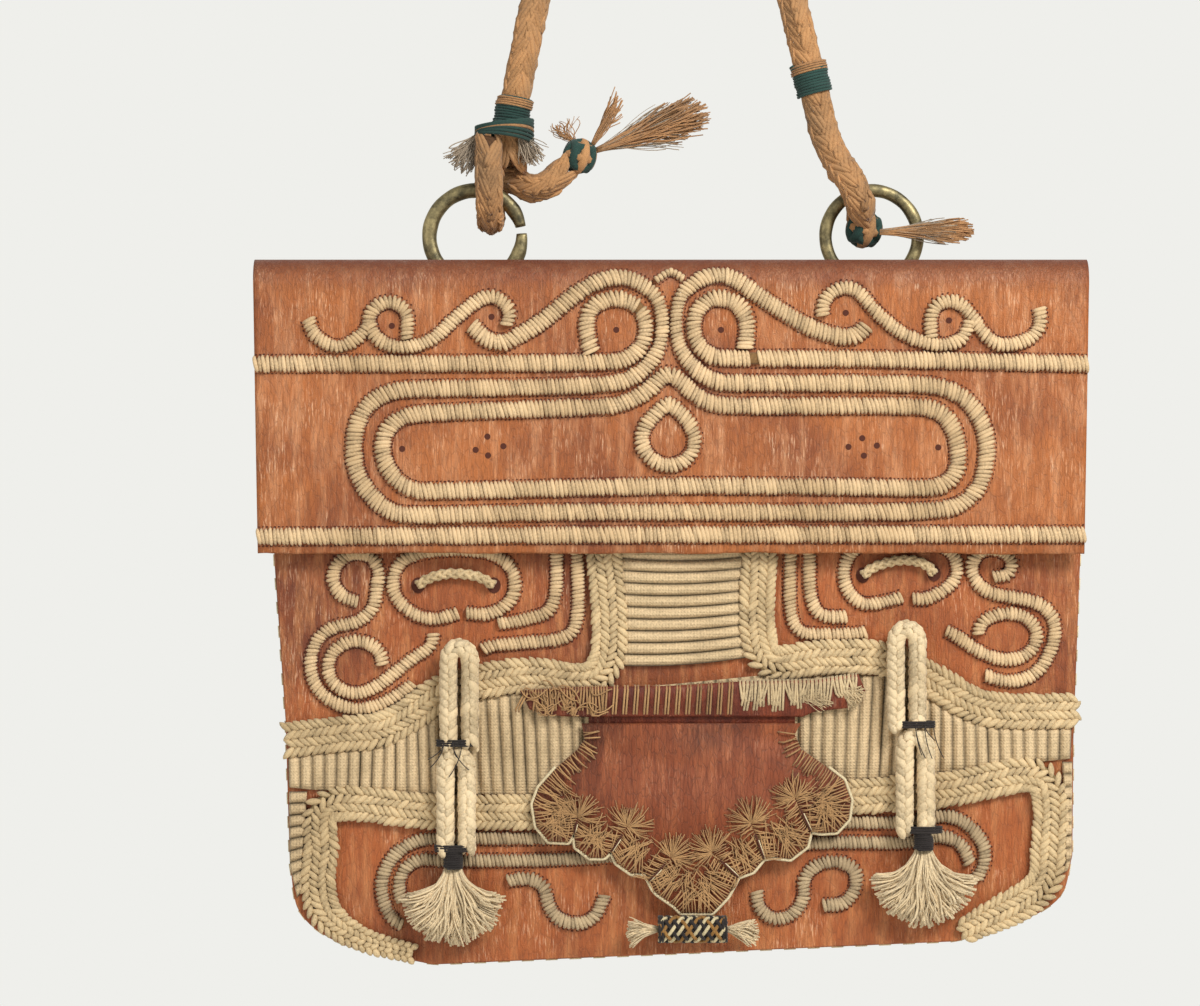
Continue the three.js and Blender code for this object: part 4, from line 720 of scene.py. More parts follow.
gusset = Solid()
side = upright(bag_outline, 0.0)
across = np.gradient(side, axis=0)
across = np.stack([-across[:, 2], np.zeros(len(side)), across[:, 0]], 1)
across /= np.linalg.norm(across, axis=1)[:, None]
deep = GUSSET_INSET + GUSSET_THICKNESS
corners = ((GUSSET_INSET, -GUSSET_HALF), (GUSSET_INSET, GUSSET_HALF),
           (deep, GUSSET_HALF), (deep, -GUSSET_HALF))
gusset.loft(np.stack([side + across * inset + np.array([0, y, 0]) for inset, y in corners], axis=1))
stitch_line = even_line(side - across * 0.25, SEAM_STITCH)
for a, b in zip(stitch_line[:-1:2], stitch_line[1::2]):
    for y in (-7.6, 7.6):
        gusset.tube([a + (0, y, 0), b + (0, y, 0)], 0.35, 5, 1)
gusset.make("gusset_leather", [dark_leather, pale_stitch], "bag", ["gusset"], "leather_dark")


# The ribbed panels: cloth-covered cords laid side by side on the front, in a grid of tabby weave.
# The centre panel's cords lie across, the wide lower band's stand upright, and those of the sides lie across.

RIB_PITCH = 4.0
RIB_HEIGHT = 2.35
RIB_STEPS = 14
FRONT_Y = -10.3
# The threads of such cloth are some 0.5 mm apart. They are drawn twice as coarse, so that they show.
WEAVE_PITCH = 1.0472
# A wave texture of scale 1 repeats after this many units
WEAVE_TURN = 2 * math.pi / 20
# Each panel: the two edges that its ribs run between, its sag, and whether the ribs stand upright
RIB_PANELS = (
    (((-18.4, -96), (-18.4, -136.2)), ((24.8, -96), (26.2, -133.4)), 1.2, False),
    (((-128.2, -166.8), (-110, -164.6), (-97, -163.2), (-89, -158.4), (-77, -151), (-62, -147), (-47, -145),
      (-24, -144.6), (5, -142), (29, -139.6), (50, -139.1), (72, -139.8), (86, -146.4), (99, -154.2),
      (110, -156.9), (134.4, -156.9)),
     ((-128, -177), (-120, -177.8), (-80.7, -179.2), (-45, -179.4), (0, -177.8), (60, -174.4), (91, -172),
      (119, -168.9), (134, -167.4)), 0, True),
    (((-127.9, -178.4), (-127.7, -203), (-125.2, -214)),
     ((-121.9, -178.4), (-123.3, -203), (-123.6, -212)), 0, False),
    (((131.2, -168.4), (132.1, -202), (131.4, -206)),
     ((134.6, -168.4), (134.4, -200), (133, -205)), 0, False),
)


def cord_weave(name, colour):
    """Pale tabby cloth over the cords: small crossed threads, grimy in patches, with painted shade in the
    hollows between ribs and painted light on their crests, both from the shade attribute.
    """
    mat = fibre(name, colour, "#6e5c3c", 0.45, 0.769, 0.9, 0.2)
    tree = mat.node_tree
    bsdf = tree.nodes["Principled BSDF"]
    place = add_node(tree, "ShaderNodeTexCoord").outputs["Object"]
    across, up = [add_node(tree, "ShaderNodeTexWave", {"bands_direction": direction}, {
        "Vector": place, "Scale": WEAVE_TURN * 1000 / WEAVE_PITCH, "Distortion": 0.8, "Detail": 1}).outputs[1]
        for direction in ("X", "Z")]
    woven = add_node(tree, "ShaderNodeMath", {"operation": "MULTIPLY"}, {0: across, 1: up})
    relief = add_node(tree, "ShaderNodeBump", inputs={
        "Height": woven.outputs[0], "Strength": 0.6, "Distance": 0.0004})
    # Painted shade: the shade attribute, low in the gaps between ribs, darkens the cloth there
    depth = add_node(tree, "ShaderNodeMapRange", inputs={
        "Value": add_node(tree, "ShaderNodeAttribute", {"attribute_name": "shade"}).outputs["Fac"],
        "From Min": 0.1, "From Max": 0.75, "To Min": 0.3})
    gap_shaded_colour = add_node(tree, "ShaderNodeVectorMath", {"operation": "SCALE"}, {
        0: bsdf.inputs["Base Color"].links[0].from_socket, "Scale": depth.outputs[0]})
    feed(tree, bsdf, {"Base Color": gap_shaded_colour.outputs[0], "Normal": relief.outputs[0]})
    return mat


def rib_sheet(solid, first_edge, second_edge, sag, stand):
    """Ribs that run from one edge line to the other, side by side along both."""
    first = even_line(np.asarray(first_edge, float), 0.5)
    second = even_line(np.asarray(second_edge, float), 0.05)
    second = second[np.linspace(0, len(second) - 1, len(first)).astype(int)]
    run = np.concatenate([[0], np.cumsum(np.linalg.norm(np.diff((first + second) / 2, axis=0), axis=1))])
    ribs = max(1, round(run[-1] / RIB_PITCH))
    lift = np.abs(np.sin(math.pi * ribs * run / run[-1])) ** 0.55
    rows = []
    for s in range(RIB_STEPS + 1):
        t = s / RIB_STEPS
        line = first * (1 - t) + second * t
        ends = min(1.0, 6 * t + 0.2, 6 * (1 - t) + 0.2)
        fuzz = np.array([noise.noise(Vector((a * 0.35, b * 0.35, 1.7))) for a, b in line])
        height = 0.25 + (RIB_HEIGHT * lift + 0.25 + 0.22 * fuzz) * ends
        rows.append(upright(line - (0, sag * 4 * t * (1 - t)), FRONT_Y - height))
    # The shade attribute follows each rib's lift, so the cloth gets painted shade in the gaps and painted
    # light on the crests
    solid.loft(rows, flip=not stand, rings=False, shade=np.tile(lift, RIB_STEPS + 1))


# Coarse tabby cotton over cords, greyed by handling, with painted shade between the ribs
rib_cloth = cord_weave("grimy_and_gap_shaded_ribbed_cloth", "#c6ad86")
ribs = Solid()
for panel in RIB_PANELS:
    rib_sheet(ribs, *panel)
ribs.make("ribbed_cord_panels", [rib_cloth], "bag",
          ["ribs_centre", "ribs_lower", "ribs_side_left", "ribs_side_right"], "rib_cord")


# The plaits: flat four-column plaits of pale cotton cord that frame the ribbed panels.
# Each lobe is one turn of a strand, so the columns read as rows of V shapes.

PLAIT_WIDTH = 11.4
PLAIT_PITCH = 2.35
PLAIT_COLUMNS = 4
PLAIT_LEAN = math.radians(40)
# Below this height the lower plait's two ends narrow
NARROW_FROM_Z = -218
# Each plait: its line, and whether it narrows
PLAIT_LINES = (
    ((
        (-128.4, -161.1), (-110, -158.9), (-97, -157.6), (-87, -152.4), (-77, -145.2), (-64, -141.4),
        (-48, -139.4), (-23.9, -139), (-23.9, -80),
    ), False),
    ((
        (30.6, -80), (32.2, -133.8), (50, -133.5), (73, -134.2), (88, -141.5), (101, -149), (110, -151.2),
        (134.4, -151.2),
    ), False),
    ((
        (-86.5, -232.6), (-104, -227.6), (-115.4, -219.6), (-118.2, -209), (-117.2, -199), (-115.8, -184),
        (-80.7, -185), (-45, -185.2), (0, -183.6), (60, -180.2), (91, -177.8), (124.4, -174.4),
        (126.4, -199), (124.8, -209), (117, -215.6), (107, -220.6), (99, -224.8),
    ), True),
)


def on_front(x, z, h):
    return np.array([x, FRONT_Y - h, z])


def band_frames(points, surface, step, closed=False):
    """Even places along a band with the turn of each: across, along and out of the surface."""
    line = smooth_line(points, step, closed)
    spots = []
    for i, (x, z) in enumerate(line):
        before = line[max(i - 1, 0)]
        after = line[min(i + 1, len(line) - 1)]
        here = surface(x, z, 0)
        out = surface(x, z, 1) - here
        along = surface(*after, 0) - surface(*before, 0)
        along /= np.linalg.norm(along)
        across = np.cross(along, out)
        across /= np.linalg.norm(across)
        spots.append((here, np.stack([across, along, np.cross(across, along)], 1), (x, z)))
    return spots


def spun(lean):
    """A turn in the plane of a band."""
    return np.array([[math.cos(lean), -math.sin(lean), 0], [math.sin(lean), math.cos(lean), 0], [0, 0, 1]])


def narrowed(z):
    return 1 - 0.45 * np.clip((NARROW_FROM_Z - z) / 14, 0, 1)


lobe_shape = Solid()
lobe_path = [(0, -0.5, -0.02), (0, -0.36, 0.06), (0, -0.15, 0.1),
             (0, 0.1, 0.1), (0, 0.34, 0.04), (0, 0.5, -0.04)]
lobe_shape.tube(lobe_path, [0.12, 0.36, 0.5, 0.5, 0.34, 0.08], 7)
lobe = small_piece("plait_lobe", lobe_shape)
# Unbleached cotton cord, softly spun: cream on top, with brown painted shade between the strands from the bed
# beneath
cotton = fibre("grimy_plaited_cotton", "#c3ab82", "#7a6340", 0.5, 0.714, shade=0.3)
# The same cotton where it hangs free and keeps cleaner
clean_cotton = fibre("pale_loose_cotton", "#d2bd98", "#8d7650", 0.45, 0.714, shade=0.35)
# The same cotton, darker, as painted shade under the plaits
core_cotton = fibre("shade_painted_cotton_core", "#8d774f", "#4f4029", 0.6, 0.769)

spots = []
for points, narrow in PLAIT_LINES:
    for here, turn, (x, z) in band_frames(points, on_front, PLAIT_PITCH):
        width = PLAIT_WIDTH * (narrowed(z) if narrow else 1) / PLAIT_COLUMNS
        for column in range(PLAIT_COLUMNS):
            offset = (column - (PLAIT_COLUMNS - 1) / 2) * width
            shift = PLAIT_PITCH * (0.5 if column in (1, 2) else 0)
            place = here + turn @ np.array([offset, shift, 1.35])
            lean = PLAIT_LEAN if column % 2 else -PLAIT_LEAN
            spots.append((place, turn @ spun(lean), (2.2, width * 1.75, 2.6)))
set_pieces("front_plaits", lobe, spots, cotton, (5, 0.12, 0.1), "bag",
           ["plait_upper_left", "plait_upper_right", "plait_lower"])

# Painted shade: dark cotton tubes under the plaits show brown between the lobes
bed = Solid()
for points, narrow in PLAIT_LINES:
    line = smooth_line(points, 3.0)
    edge = np.gradient(line, axis=0)
    edge = np.stack([-edge[:, 1], edge[:, 0]], 1) / np.linalg.norm(edge, axis=1)[:, None]
    for offset in (-3.6, -1.2, 1.2, 3.6):
        shifted = line + edge * offset * (narrowed(line[:, 1:]) if narrow else 1)
        bed.tube(upright(shifted, FRONT_Y - 1.0), 0.9)
bed.make("plait_undersides", [core_cotton], "bag", [], "plaited_cord")


# The couched work on the front: cords covered in satin stitch, each stitch one slanting turn of pale thread.
# Needle holes show as dark dots of painted shade down both sides, and a thicker plaited bar lies inside each
# upper frame.

STITCH_PITCH = 1.3
STITCH_LEAN = 0.2
STITCH_RANDOM = (0.06, 0.07)
HOLE_RANDOM = (4, 0.0, 0.3)
# The share of stitches at which a worn gap of one or two begins
WORN_SHARE = 0.0012
CORD_HEIGHT = 2.15
CORD_WIDTH = 4.2
CLOSED_CORDS = ("flap_cord_inner", "flap_teardrop")
BAR_HEIGHT = 1.75
# Each cord: the CAD node that it replaces, its width and its line
UPPER_CORDS = (
    ("front_frame_left", CORD_WIDTH, (
        (-71.8, -118.8), (-78.3, -120.5), (-84, -119.8), (-88.5, -117.2), (-92.4, -112.6), (-93, -106.5),
        (-89.8, -101), (-82, -98.2), (-71, -97.4), (-60.5, -98.6), (-54, -102.8), (-52.2, -108.7),
        (-53.2, -113.6), (-57, -117.2), (-62, -119), (-68, -118.6))),
    ("front_frame_right", CORD_WIDTH, (
        (77, -113.4), (69.9, -115.2), (65, -115.6), (61, -113.2), (58.6, -109.3), (58.2, -103.7),
        (61, -97.8), (68, -94.6), (78, -93.6), (88, -94.8), (94.6, -98.8), (96.1, -104.7), (94.3, -108.6),
        (90.1, -111.8), (85.3, -113.9), (81.6, -113.8))),
    ("front_scroll_left", CORD_WIDTH, (
        (-105.4, -114.8), (-110.4, -112.6), (-113.2, -107.8), (-112, -102.4), (-107, -98.8),
        (-100.6, -99.7), (-98, -104.5), (-98.6, -110.5), (-99.8, -116.8), (-105, -121.4), (-112.8, -123.3),
        (-117.9, -126.8), (-120.6, -133.5), (-119.8, -141.2), (-116.7, -145.9), (-111.5, -149.2),
        (-105.1, -150.8), (-98.7, -149.7), (-92.3, -146.5), (-86.6, -142.6))),
    ("front_scroll_right", CORD_WIDTH, (
        (108.6, -106.4), (113, -105.6), (114.4, -101.4), (110.4, -97.6), (104.5, -97.8), (101.2, -101.8),
        (102, -107.4), (106.8, -111.6), (112.8, -113), (119.3, -114.2), (124.7, -116.2), (128.2, -120.4),
        (128.8, -126.1), (127, -132), (123.5, -137.6), (118.7, -140.6), (112.2, -141.4), (105.9, -139.6))),
    ("front_volute_left", CORD_WIDTH, (
        (-96.7, -135.4), (-97.2, -132.6), (-99.8, -129.6), (-105.1, -127.9), (-110.2, -129.2),
        (-114, -133), (-114.8, -138), (-113, -142.2), (-109.2, -144.8), (-104.5, -145.4), (-98.7, -143.2),
        (-92.3, -138.4), (-86, -133.5), (-80.4, -129.6), (-79.6, -126))),
    ("front_volute_right", CORD_WIDTH, (
        (103.2, -125.2), (104, -122.4), (107.2, -120), (112.8, -118.7), (118.7, -119.9), (122.2, -123.4),
        (122.6, -128), (119.7, -132.2), (114, -134.2), (108, -133.4), (102, -130.6), (97.3, -127.3),
        (92.8, -124.6))),
    ("front_step_upper_left", CORD_WIDTH, (
        (-57.4, -122), (-54.1, -121.8), (-47.7, -120.4), (-41.3, -118.2), (-38.8, -113), (-38.8, -80))),
    ("front_step_upper_right", CORD_WIDTH, (
        (47.2, -80), (47.2, -114), (50, -118.9), (54, -119.9), (58.4, -119.8))),
    ("front_step_lower_left", CORD_WIDTH, (
        (-62.6, -130.6), (-60, -129.6), (-54.1, -129), (-47.7, -128.4), (-37, -127.2), (-32.4, -124),
        (-32.2, -80))),
    ("front_step_lower_right", CORD_WIDTH, (
        (40.9, -80), (40.9, -121), (44, -125), (50, -125.7), (58, -125.7), (65, -125.2))),
)
LOWER_CORDS = (
    ("front_lower_outer", CORD_WIDTH, (
        (-90.5, -223), (-93.9, -220.4), (-96.3, -215), (-96.9, -209), (-94.8, -202.8), (-90.5, -197.9),
        (-84.3, -194.8), (-78, -194.2), (-37, -194), (49.7, -188.9), (80.3, -188.6), (90.7, -186.6),
        (96.7, -187.8), (101.5, -191.5), (105, -196.7), (105, -202.7), (102.7, -207.3))),
    ("front_lower_inner", CORD_WIDTH, (
        (-90.3, -215), (-91.1, -209.7), (-89.1, -204.4), (-84.3, -201.4), (-76, -201.6), (-37, -201.2),
        (49.7, -195.6), (80.3, -195.4), (89.7, -193.6), (94.9, -194.6), (98.5, -197.9), (100, -202))),
    ("front_lower_scroll_left", CORD_WIDTH, (
        (-54.1, -208.3), (-47.3, -207.7), (-42.4, -210.8), (-41.2, -215.7), (-38, -220.8), (-31.1, -222.7),
        (-25.5, -220.3), (-22.3, -213.6))),
    ("front_lower_scroll_right", CORD_WIDTH, (
        (28.9, -212.3), (29.6, -217.2), (34.3, -221), (40.7, -219.6), (44.5, -214), (44.9, -207.5),
        (49, -203.2), (56, -202), (61.6, -204.8), (61.8, -211), (58, -215.8), (51.6, -216.6))),
)
BARS = (
    ((-84.7, -109.3), (-81.7, -107.3), (-75.7, -105.5), (-69.3, -105.5), (-63.7, -106.7), (-59.3, -109.3)),
    ((64.4, -105.9), (67.5, -103.5), (73.5, -101.4), (79.4, -100.8), (85.3, -102.3), (88.3, -105.3)),
)

arch = np.linspace(-0.42, 0.42, 9)
crown = 0.78 * np.sqrt(np.maximum(1 - (arch / 0.42) ** 2, 0)) - 0.06
stitch_shape = Solid()
stitch_radius = [0.14, 0.19, 0.22, 0.23, 0.23, 0.23, 0.22, 0.19, 0.14]
stitch_shape.tube(np.stack([arch, np.zeros(9), crown], 1), stitch_radius)
stitch_shape.verts[0][:, 1] *= 0.56 / 0.23
stitch = small_piece("satin_stitch", stitch_shape)


def disc(centre, wide, tall, sides=12):
    """Points round a flat disc in the XZ plane."""
    turn = np.arange(sides) * 2 * math.pi / sides
    return np.asarray(centre, float) + np.stack([wide * np.cos(turn), 0 * turn, tall * np.sin(turn)], 1)


hole_shape = Solid()
hole_shape.add(disc((0, 0, 0), 0.5, 0.5, 6)[:, [0, 2, 1]], [list(range(6))])
hole = small_piece("needle_hole", hole_shape)

# Loosely twisted cotton floss with a slight sheen, in cream at the top and grey brown low down
satin_thread = fibre("pale_satin_thread", "#c8ac84", "#7c6038", 0.5, 0.625, shade=0.35)
greyed_thread = fibre("greyed_satin_thread", "#ae9876", "#624e38", 0.55, 0.625, shade=0.35)
# Coarse cord under the floss, painted dark brown as the shade in the gaps between stitches and where stitches
# are lost
padding = fibre("gap_shade_stitch_padding", "#80603a", "#4b321c", 0.5, 0.625)
# Painted shade for a hole in leather: plain dark brown, with no shine
hole_dark, tree, shader = new_finish("dark_needle_hole")
feed(tree, shader, {"Base Color": linear("#4a2112"), "Roughness": 0.95})


def nodes_of(cords):
    return list(dict.fromkeys(node for node, _, _ in cords))


def couch(cords, surface, height, width_at, rng, pitch):
    """Spots for the stitches, spots for the needle holes beside them, and the padding beneath."""
    stitches = []
    holes = []
    core = Solid()
    for node, width, points in cords:
        frames = band_frames(points, surface, pitch, node in CLOSED_CORDS)
        worn = 0
        for here, turn, (x, z) in frames:
            wide = width * width_at(x, z)
            if worn == 0 and rng.random() < WORN_SHARE:
                worn = rng.integers(1, 3)
            if worn > 0:
                worn -= 1
            else:
                spin = spun(STITCH_LEAN + 0.07 * math.sin(0.2 * x))
                stitches.append((here, turn @ spin, (wide * rng.uniform(0.94, 1.06), pitch, height)))
            for side in (-1, 1):
                reach = side * (wide / 2 + 0.35 + rng.uniform(0, 0.2))
                holes.append((here + turn @ np.array([reach, 0, -0.2]), turn, (0.5, 0.72, 1)))
        # The padding cord's dark brown is painted shade seen between the stitches
        path = [here + turn[:, 2] * (0.28 * height) for here, turn, _ in frames[::2]]
        wide = [width * width_at(x, z) * 0.36 for _, _, (x, z) in frames[::2]]
        core.tube(path, wide, 8, flat=0.5)
    return stitches, holes, core


work_rng = np.random.default_rng(21)
front_holes = []
for kind, cords, finish in (("upper", UPPER_CORDS, satin_thread), ("lower", LOWER_CORDS, greyed_thread)):
    stitches, holes, core = couch(cords, on_front, CORD_HEIGHT, lambda x, z: 1.0, work_rng, STITCH_PITCH)
    front_holes += holes
    set_pieces(f"front_{kind}_stitches", stitch, stitches, finish, (9, *STITCH_RANDOM),
               "bag", nodes_of(cords))
    core.make(f"front_{kind}_padding", [padding], "bag", [], "couched_cord")
# Painted shade: dark discs stand for the needle holes beside each cord
set_pieces("front_needle_holes", hole, front_holes, hole_dark, HOLE_RANDOM, "bag", [])

bars = Solid()
for points in BARS:
    path = upright(smooth_line(points, 0.8), FRONT_Y - BAR_HEIGHT)
    bars.tube(path, 1.1, 8)
    bars.braid(path, 1.05, 3, 0.72, 0.25, 9.0)
    for end in (path[0], path[-1]):
        # Painted shade: dark discs where the bar ends tuck into holes
        bars.add(disc((end[0], FRONT_Y - 0.04, end[2]), 2.3, 2.7), [list(range(12))], 1)
bars.make("front_bar_cords", [cotton, hole_dark], "bag", ["bar_cord_left", "bar_cord_right"], "plaited_cord")


# The flap: one piece of the same leather, hinged by its fold along the top of the back panel.
# Its edge is worn, its top fold has painted shade, and punched dots, drawn as dark discs of painted shade, sit
# between its couched cords.

FLAP_WIDTH = 279.0
FLAP_DROP = 98.5
FLAP_OUTER = -18.0
FLAP_THICKNESS = 2.5
FOLD_RADIUS = 9.0
FLAP_COLUMNS = 181
FLAP_CORD_HEIGHT = 2.35
FLAP_STITCH_PITCH = 1.35
# The flap widens downwards by this share for each millimetre of height
FLAP_FLARE = 0.00012
FLAP_CORDS = (
    ("flap_cord_upper_left", 5.5, (
        (-138.9, -35.4), (-22, -34.7), (-16.5, -34.2), (-11.7, -31.5), (-9, -27.4), (-8.6, -21.3),
        (-11, -16.5), (-16.5, -13.7), (-21.9, -14.1), (-26.7, -16.9), (-28.2, -21.3), (-27.9, -26),
        (-26.9, -31.1))),
    ("flap_cord_upper_right", 5.5, (
        (138.9, -35.3), (63, -33.7), (19, -33.4), (14.6, -33.1), (10.9, -31), (8.2, -27), (7.6, -21.3),
        (9.4, -16.7), (13.5, -13.7), (17.6, -13.5), (22.3, -15.5), (25, -19.9), (25.4, -24.7),
        (24.7, -29.8))),
    ("flap_cord_outer", 5.5, (
        (-66.3, -22.7), (-62.1, -26.9), (-56.3, -28.3), (-51.3, -26.1), (-43.7, -21.6), (-36.9, -16.2),
        (-31.4, -11.8), (-26, -8.7), (-20.5, -6.9), (-15.1, -6.7), (-9.7, -8.9), (-4.9, -13.1),
        (-3.1, -19.2), (-3.1, -26), (-4.8, -31.5), (-7.9, -35.9), (-11.9, -39.2), (-17, -41.4),
        (-80, -43.6), (-89, -43.9), (-95.4, -45.2), (-101.2, -48.8), (-104.8, -54), (-106.5, -62),
        (-105.9, -70.3), (-103.3, -76.1), (-96.8, -83.1), (-91.8, -85.3), (-84, -85.7), (-37, -84.8),
        (63, -84.8), (86.7, -84.2), (95.3, -83), (100.2, -80.1), (103.9, -75.4), (106, -66),
        (105.1, -57.3), (102.1, -51.1), (97.8, -46.4), (92.2, -43.7), (86.7, -42.5), (20, -41.7),
        (16.2, -41.5), (11, -39.3), (6.3, -35.2), (2.9, -29.8), (1.7, -24), (1.9, -17.9), (3.5, -12.4),
        (7.4, -8.7), (12.1, -6.4), (17.6, -6), (22.3, -7.7), (27.1, -11.1), (36.6, -17.5), (46.8, -23.3),
        (55.8, -26.1), (60.8, -26.2), (65, -23.2))),
    ("flap_cord_inner", 5.5, (
        (-0.7, -38.9), (-8.3, -44.6), (-13.7, -47.5), (-19.9, -49.3), (-27, -49.7), (-80, -51.7),
        (-86, -52.2), (-91, -53.6), (-95.2, -57.2), (-96.9, -62.5), (-96.2, -68), (-93.6, -72.5),
        (-90, -75.9), (-85.3, -77.6), (-79, -77.7), (-37, -76.8), (4, -76), (63, -76.4), (84, -76.7),
        (89, -76.4), (93.4, -74.4), (96, -70.6), (96.4, -65), (94.8, -57.3), (91.6, -52.6), (87, -50.2),
        (80, -49.5), (22, -49.3), (15.5, -48.9), (10.8, -47.4), (6.9, -44.6))),
    ("flap_vine_left", 4.4, (
        (-55, -22), (-53.8, -19), (-54.9, -16), (-59.2, -12.9), (-63.6, -13.8), (-72.2, -20.3),
        (-80, -27.2), (-88.9, -29.7), (-94.7, -29), (-99, -26.1), (-100.8, -21.8))),
    ("flap_vine_left", 4.4, (
        (-88.4, -26.5), (-88, -21.8), (-88.9, -17.4), (-93.2, -14.7), (-97.5, -15.6), (-100.4, -18.5),
        (-101.6, -23.2), (-107.7, -28.6), (-112, -29.6), (-116.3, -27.9), (-119.6, -25), (-121, -20.8))),
    ("flap_vine_right", 4.4, (
        (50.6, -18.8), (50.6, -16), (52.7, -12.2), (57.7, -9.9), (62, -11), (68.8, -18.4), (78, -25.5),
        (87.9, -28.8), (92.8, -28.8), (97.1, -26.9), (99.9, -21.5))),
    ("flap_vine_right", 4.4, (
        (87, -26), (86.7, -20.3), (88.5, -15.9), (92.8, -14.4), (96.5, -15.3), (99.6, -18.4),
        (105.1, -25.8), (108.8, -28.6), (113.2, -28.9), (118.1, -27.7), (121.8, -25.2), (123.4, -21.5),
        (123, -17.2))),
    ("flap_teardrop", 4.8, (
        (-0.8, -48.9), (-5.6, -52.4), (-8.8, -56.2), (-9.9, -61), (-8.2, -65.4), (-4.8, -68.2),
        (-1, -69.2), (3.2, -68.4), (6.8, -65.2), (7.9, -60.6), (6.6, -56), (4, -52.6))),
    ("flap_peak", 3, (
        (-4.8, -7.4), (0, -5), (3.7, -6.9))),
    ("flap_cord_lower", 5.5, (
        (-138.9, -92.9), (10, -92.2), (138.9, -92.2))),
)
# The dots' places in the photo's pixels, the pixel of the layout's origin, and pixels per millimetre
DOT_PIXELS = ((616, 330), (721, 330), (391, 326), (491, 317), (846, 313), (949.5, 320.6), (400, 449),
              (486, 436.7), (502, 446.3), (474, 450), (486.5, 455.5), (849.7, 447), (863.5, 438.3),
              (865.3, 455.8), (878.3, 445.7), (940.2, 447.5))
ORIGIN_PIXEL = (671, 258)
PIXELS_PER_MM = 3
DOT_RADIUS = 1.05

# The bag's own leather, but more handled: paler streaks, and painted shade along the top fold
flap_leather = leather("worn_flap_leather", "#a7602d", "#cf9365", "#82431e", 0.6, 0.5,
                       shaded_fold_z=LAYOUT_ORIGIN[2] / 1000)


def cockle(x, z):
    """The flap's slight waves."""
    return 0.25 * np.sin(x * 0.045 + 1) * np.cos(z * 0.05)


def on_flap(x, z, h):
    """A place at height h over the flap's outer face, which turns back over the top fold."""
    reach = min(max((z + FOLD_RADIUS) / FOLD_RADIUS, 0), 0.99)
    angle = math.asin(reach)
    lift = h + 0.3
    y = FLAP_OUTER + FOLD_RADIUS * (1 - math.cos(angle)) - lift * math.cos(angle)
    return np.array([x * (1 + FLAP_FLARE * z), y + cockle(x, z) * (1 - reach), z + lift * math.sin(angle)])


def fold_arc(radius, angles):
    """Points (y, z) round the axis of the fold."""
    centre_y = FLAP_OUTER + FOLD_RADIUS
    return [(centre_y + radius * math.cos(a), radius * math.sin(a) - FOLD_RADIUS) for a in angles]


inside = FLAP_OUTER + FLAP_THICKNESS
profile = [(inside - 0.5, -FLAP_DROP), (FLAP_OUTER + 0.5, -FLAP_DROP), (FLAP_OUTER, -FLAP_DROP + 0.6)]
profile += [(FLAP_OUTER, z) for z in np.linspace(-FLAP_DROP + 3, -FOLD_RADIUS, 30)]
profile += fold_arc(FOLD_RADIUS, np.linspace(math.pi, math.pi / 2, 14)[1:])
profile += [(-2, 0), (8, 0), (9.6, -0.5), (9.9, -1.3), (9.6, -2.2), (8.6, -2.5), (-2, -2.5)]
profile += fold_arc(FOLD_RADIUS - FLAP_THICKNESS, np.linspace(math.pi / 2, math.pi, 10))
profile += [(inside, z) for z in np.linspace(-FOLD_RADIUS, -FLAP_DROP + 3, 20)[1:]]
profile += [(inside, -FLAP_DROP + 0.6)]
y, z = np.array(profile).T
low = np.clip(-z / FLAP_DROP, 0, 1)
middle = (FLAP_OUTER + FLAP_THICKNESS / 2) * low + y * (1 - low)
rows = []
for share in np.linspace(-1, 1, FLAP_COLUMNS):
    x = share * FLAP_WIDTH / 2
    edge = 0.5 * noise.noise(Vector((x * 0.05, 0.3, 0))) + 0.25 * noise.noise(Vector((x * 0.3, 2.3, 0)))
    tip = 1 if abs(share) < 1 else 0.55
    depth = middle + (y - middle) * tip + cockle(x, z) * (z < -FOLD_RADIUS)
    rows.append(np.stack([x * (1 + FLAP_FLARE * z), depth, z - edge * low ** 6], 1))
flap = Solid()
flap.loft(rows, flip=True)
for px, py in DOT_PIXELS:
    spot = on_flap((px - ORIGIN_PIXEL[0]) / PIXELS_PER_MM, (ORIGIN_PIXEL[1] - py) / PIXELS_PER_MM, -0.26)
    # Painted shade: dark discs for the punched dots
    flap.add(disc(spot - (0, 0.02, 0), DOT_RADIUS, DOT_RADIUS), [list(range(12))], 1)
flap.make("flap_worn_leather", [flap_leather, hole_dark], "flap", ["flap_leather"], "leather")


def pinch(x, z):
    """The two inner volutes squeeze together at the middle of the flap."""
    high = min(max((z + 36) / 7, 0), 1)
    return 1 - 0.22 * math.exp(-(((x + 0.6) / 9) ** 2)) * high


stitches, holes, core = couch(FLAP_CORDS, on_flap, FLAP_CORD_HEIGHT, pinch, work_rng, FLAP_STITCH_PITCH)
set_pieces("flap_stitches", stitch, stitches, satin_thread, (12, *STITCH_RANDOM),
           "flap", nodes_of(FLAP_CORDS))
core.make("flap_stitch_padding", [padding], "flap", [], "couched_cord")
# Painted shade: dark discs stand for the needle holes beside each cord
set_pieces("flap_needle_holes", hole, holes, hole_dark, HOLE_RANDOM, "flap", [])


# The tag: a bound strip of dark leather on the front, and a scalloped leaf that hangs from it.
# Tan threads fan over each scallop, pale piping edges it, and a woven toggle with two tufts lies at its foot.

TAG_BACK = -14.1
STRIP = (
    (-50.5, -144.4), (-32.8, -143.2), (-0.4, -142.8), (23.8, -141.3), (48, -140.9), (62.6, -138.8),
    (65, -144.5), (59.3, -150.2), (48, -151.4), (44, -153.2), (-30, -153.2), (-40.8, -152.8),
    (-47.3, -150.6),
)
# Stitches bind the strip, crowded and tangled at its left, torn to wadding at its right
STRIP_FOOT = -152.9
TANGLE_TO_X = -24
TORN_FROM_X = 20
TANGLED_THREADS = 26
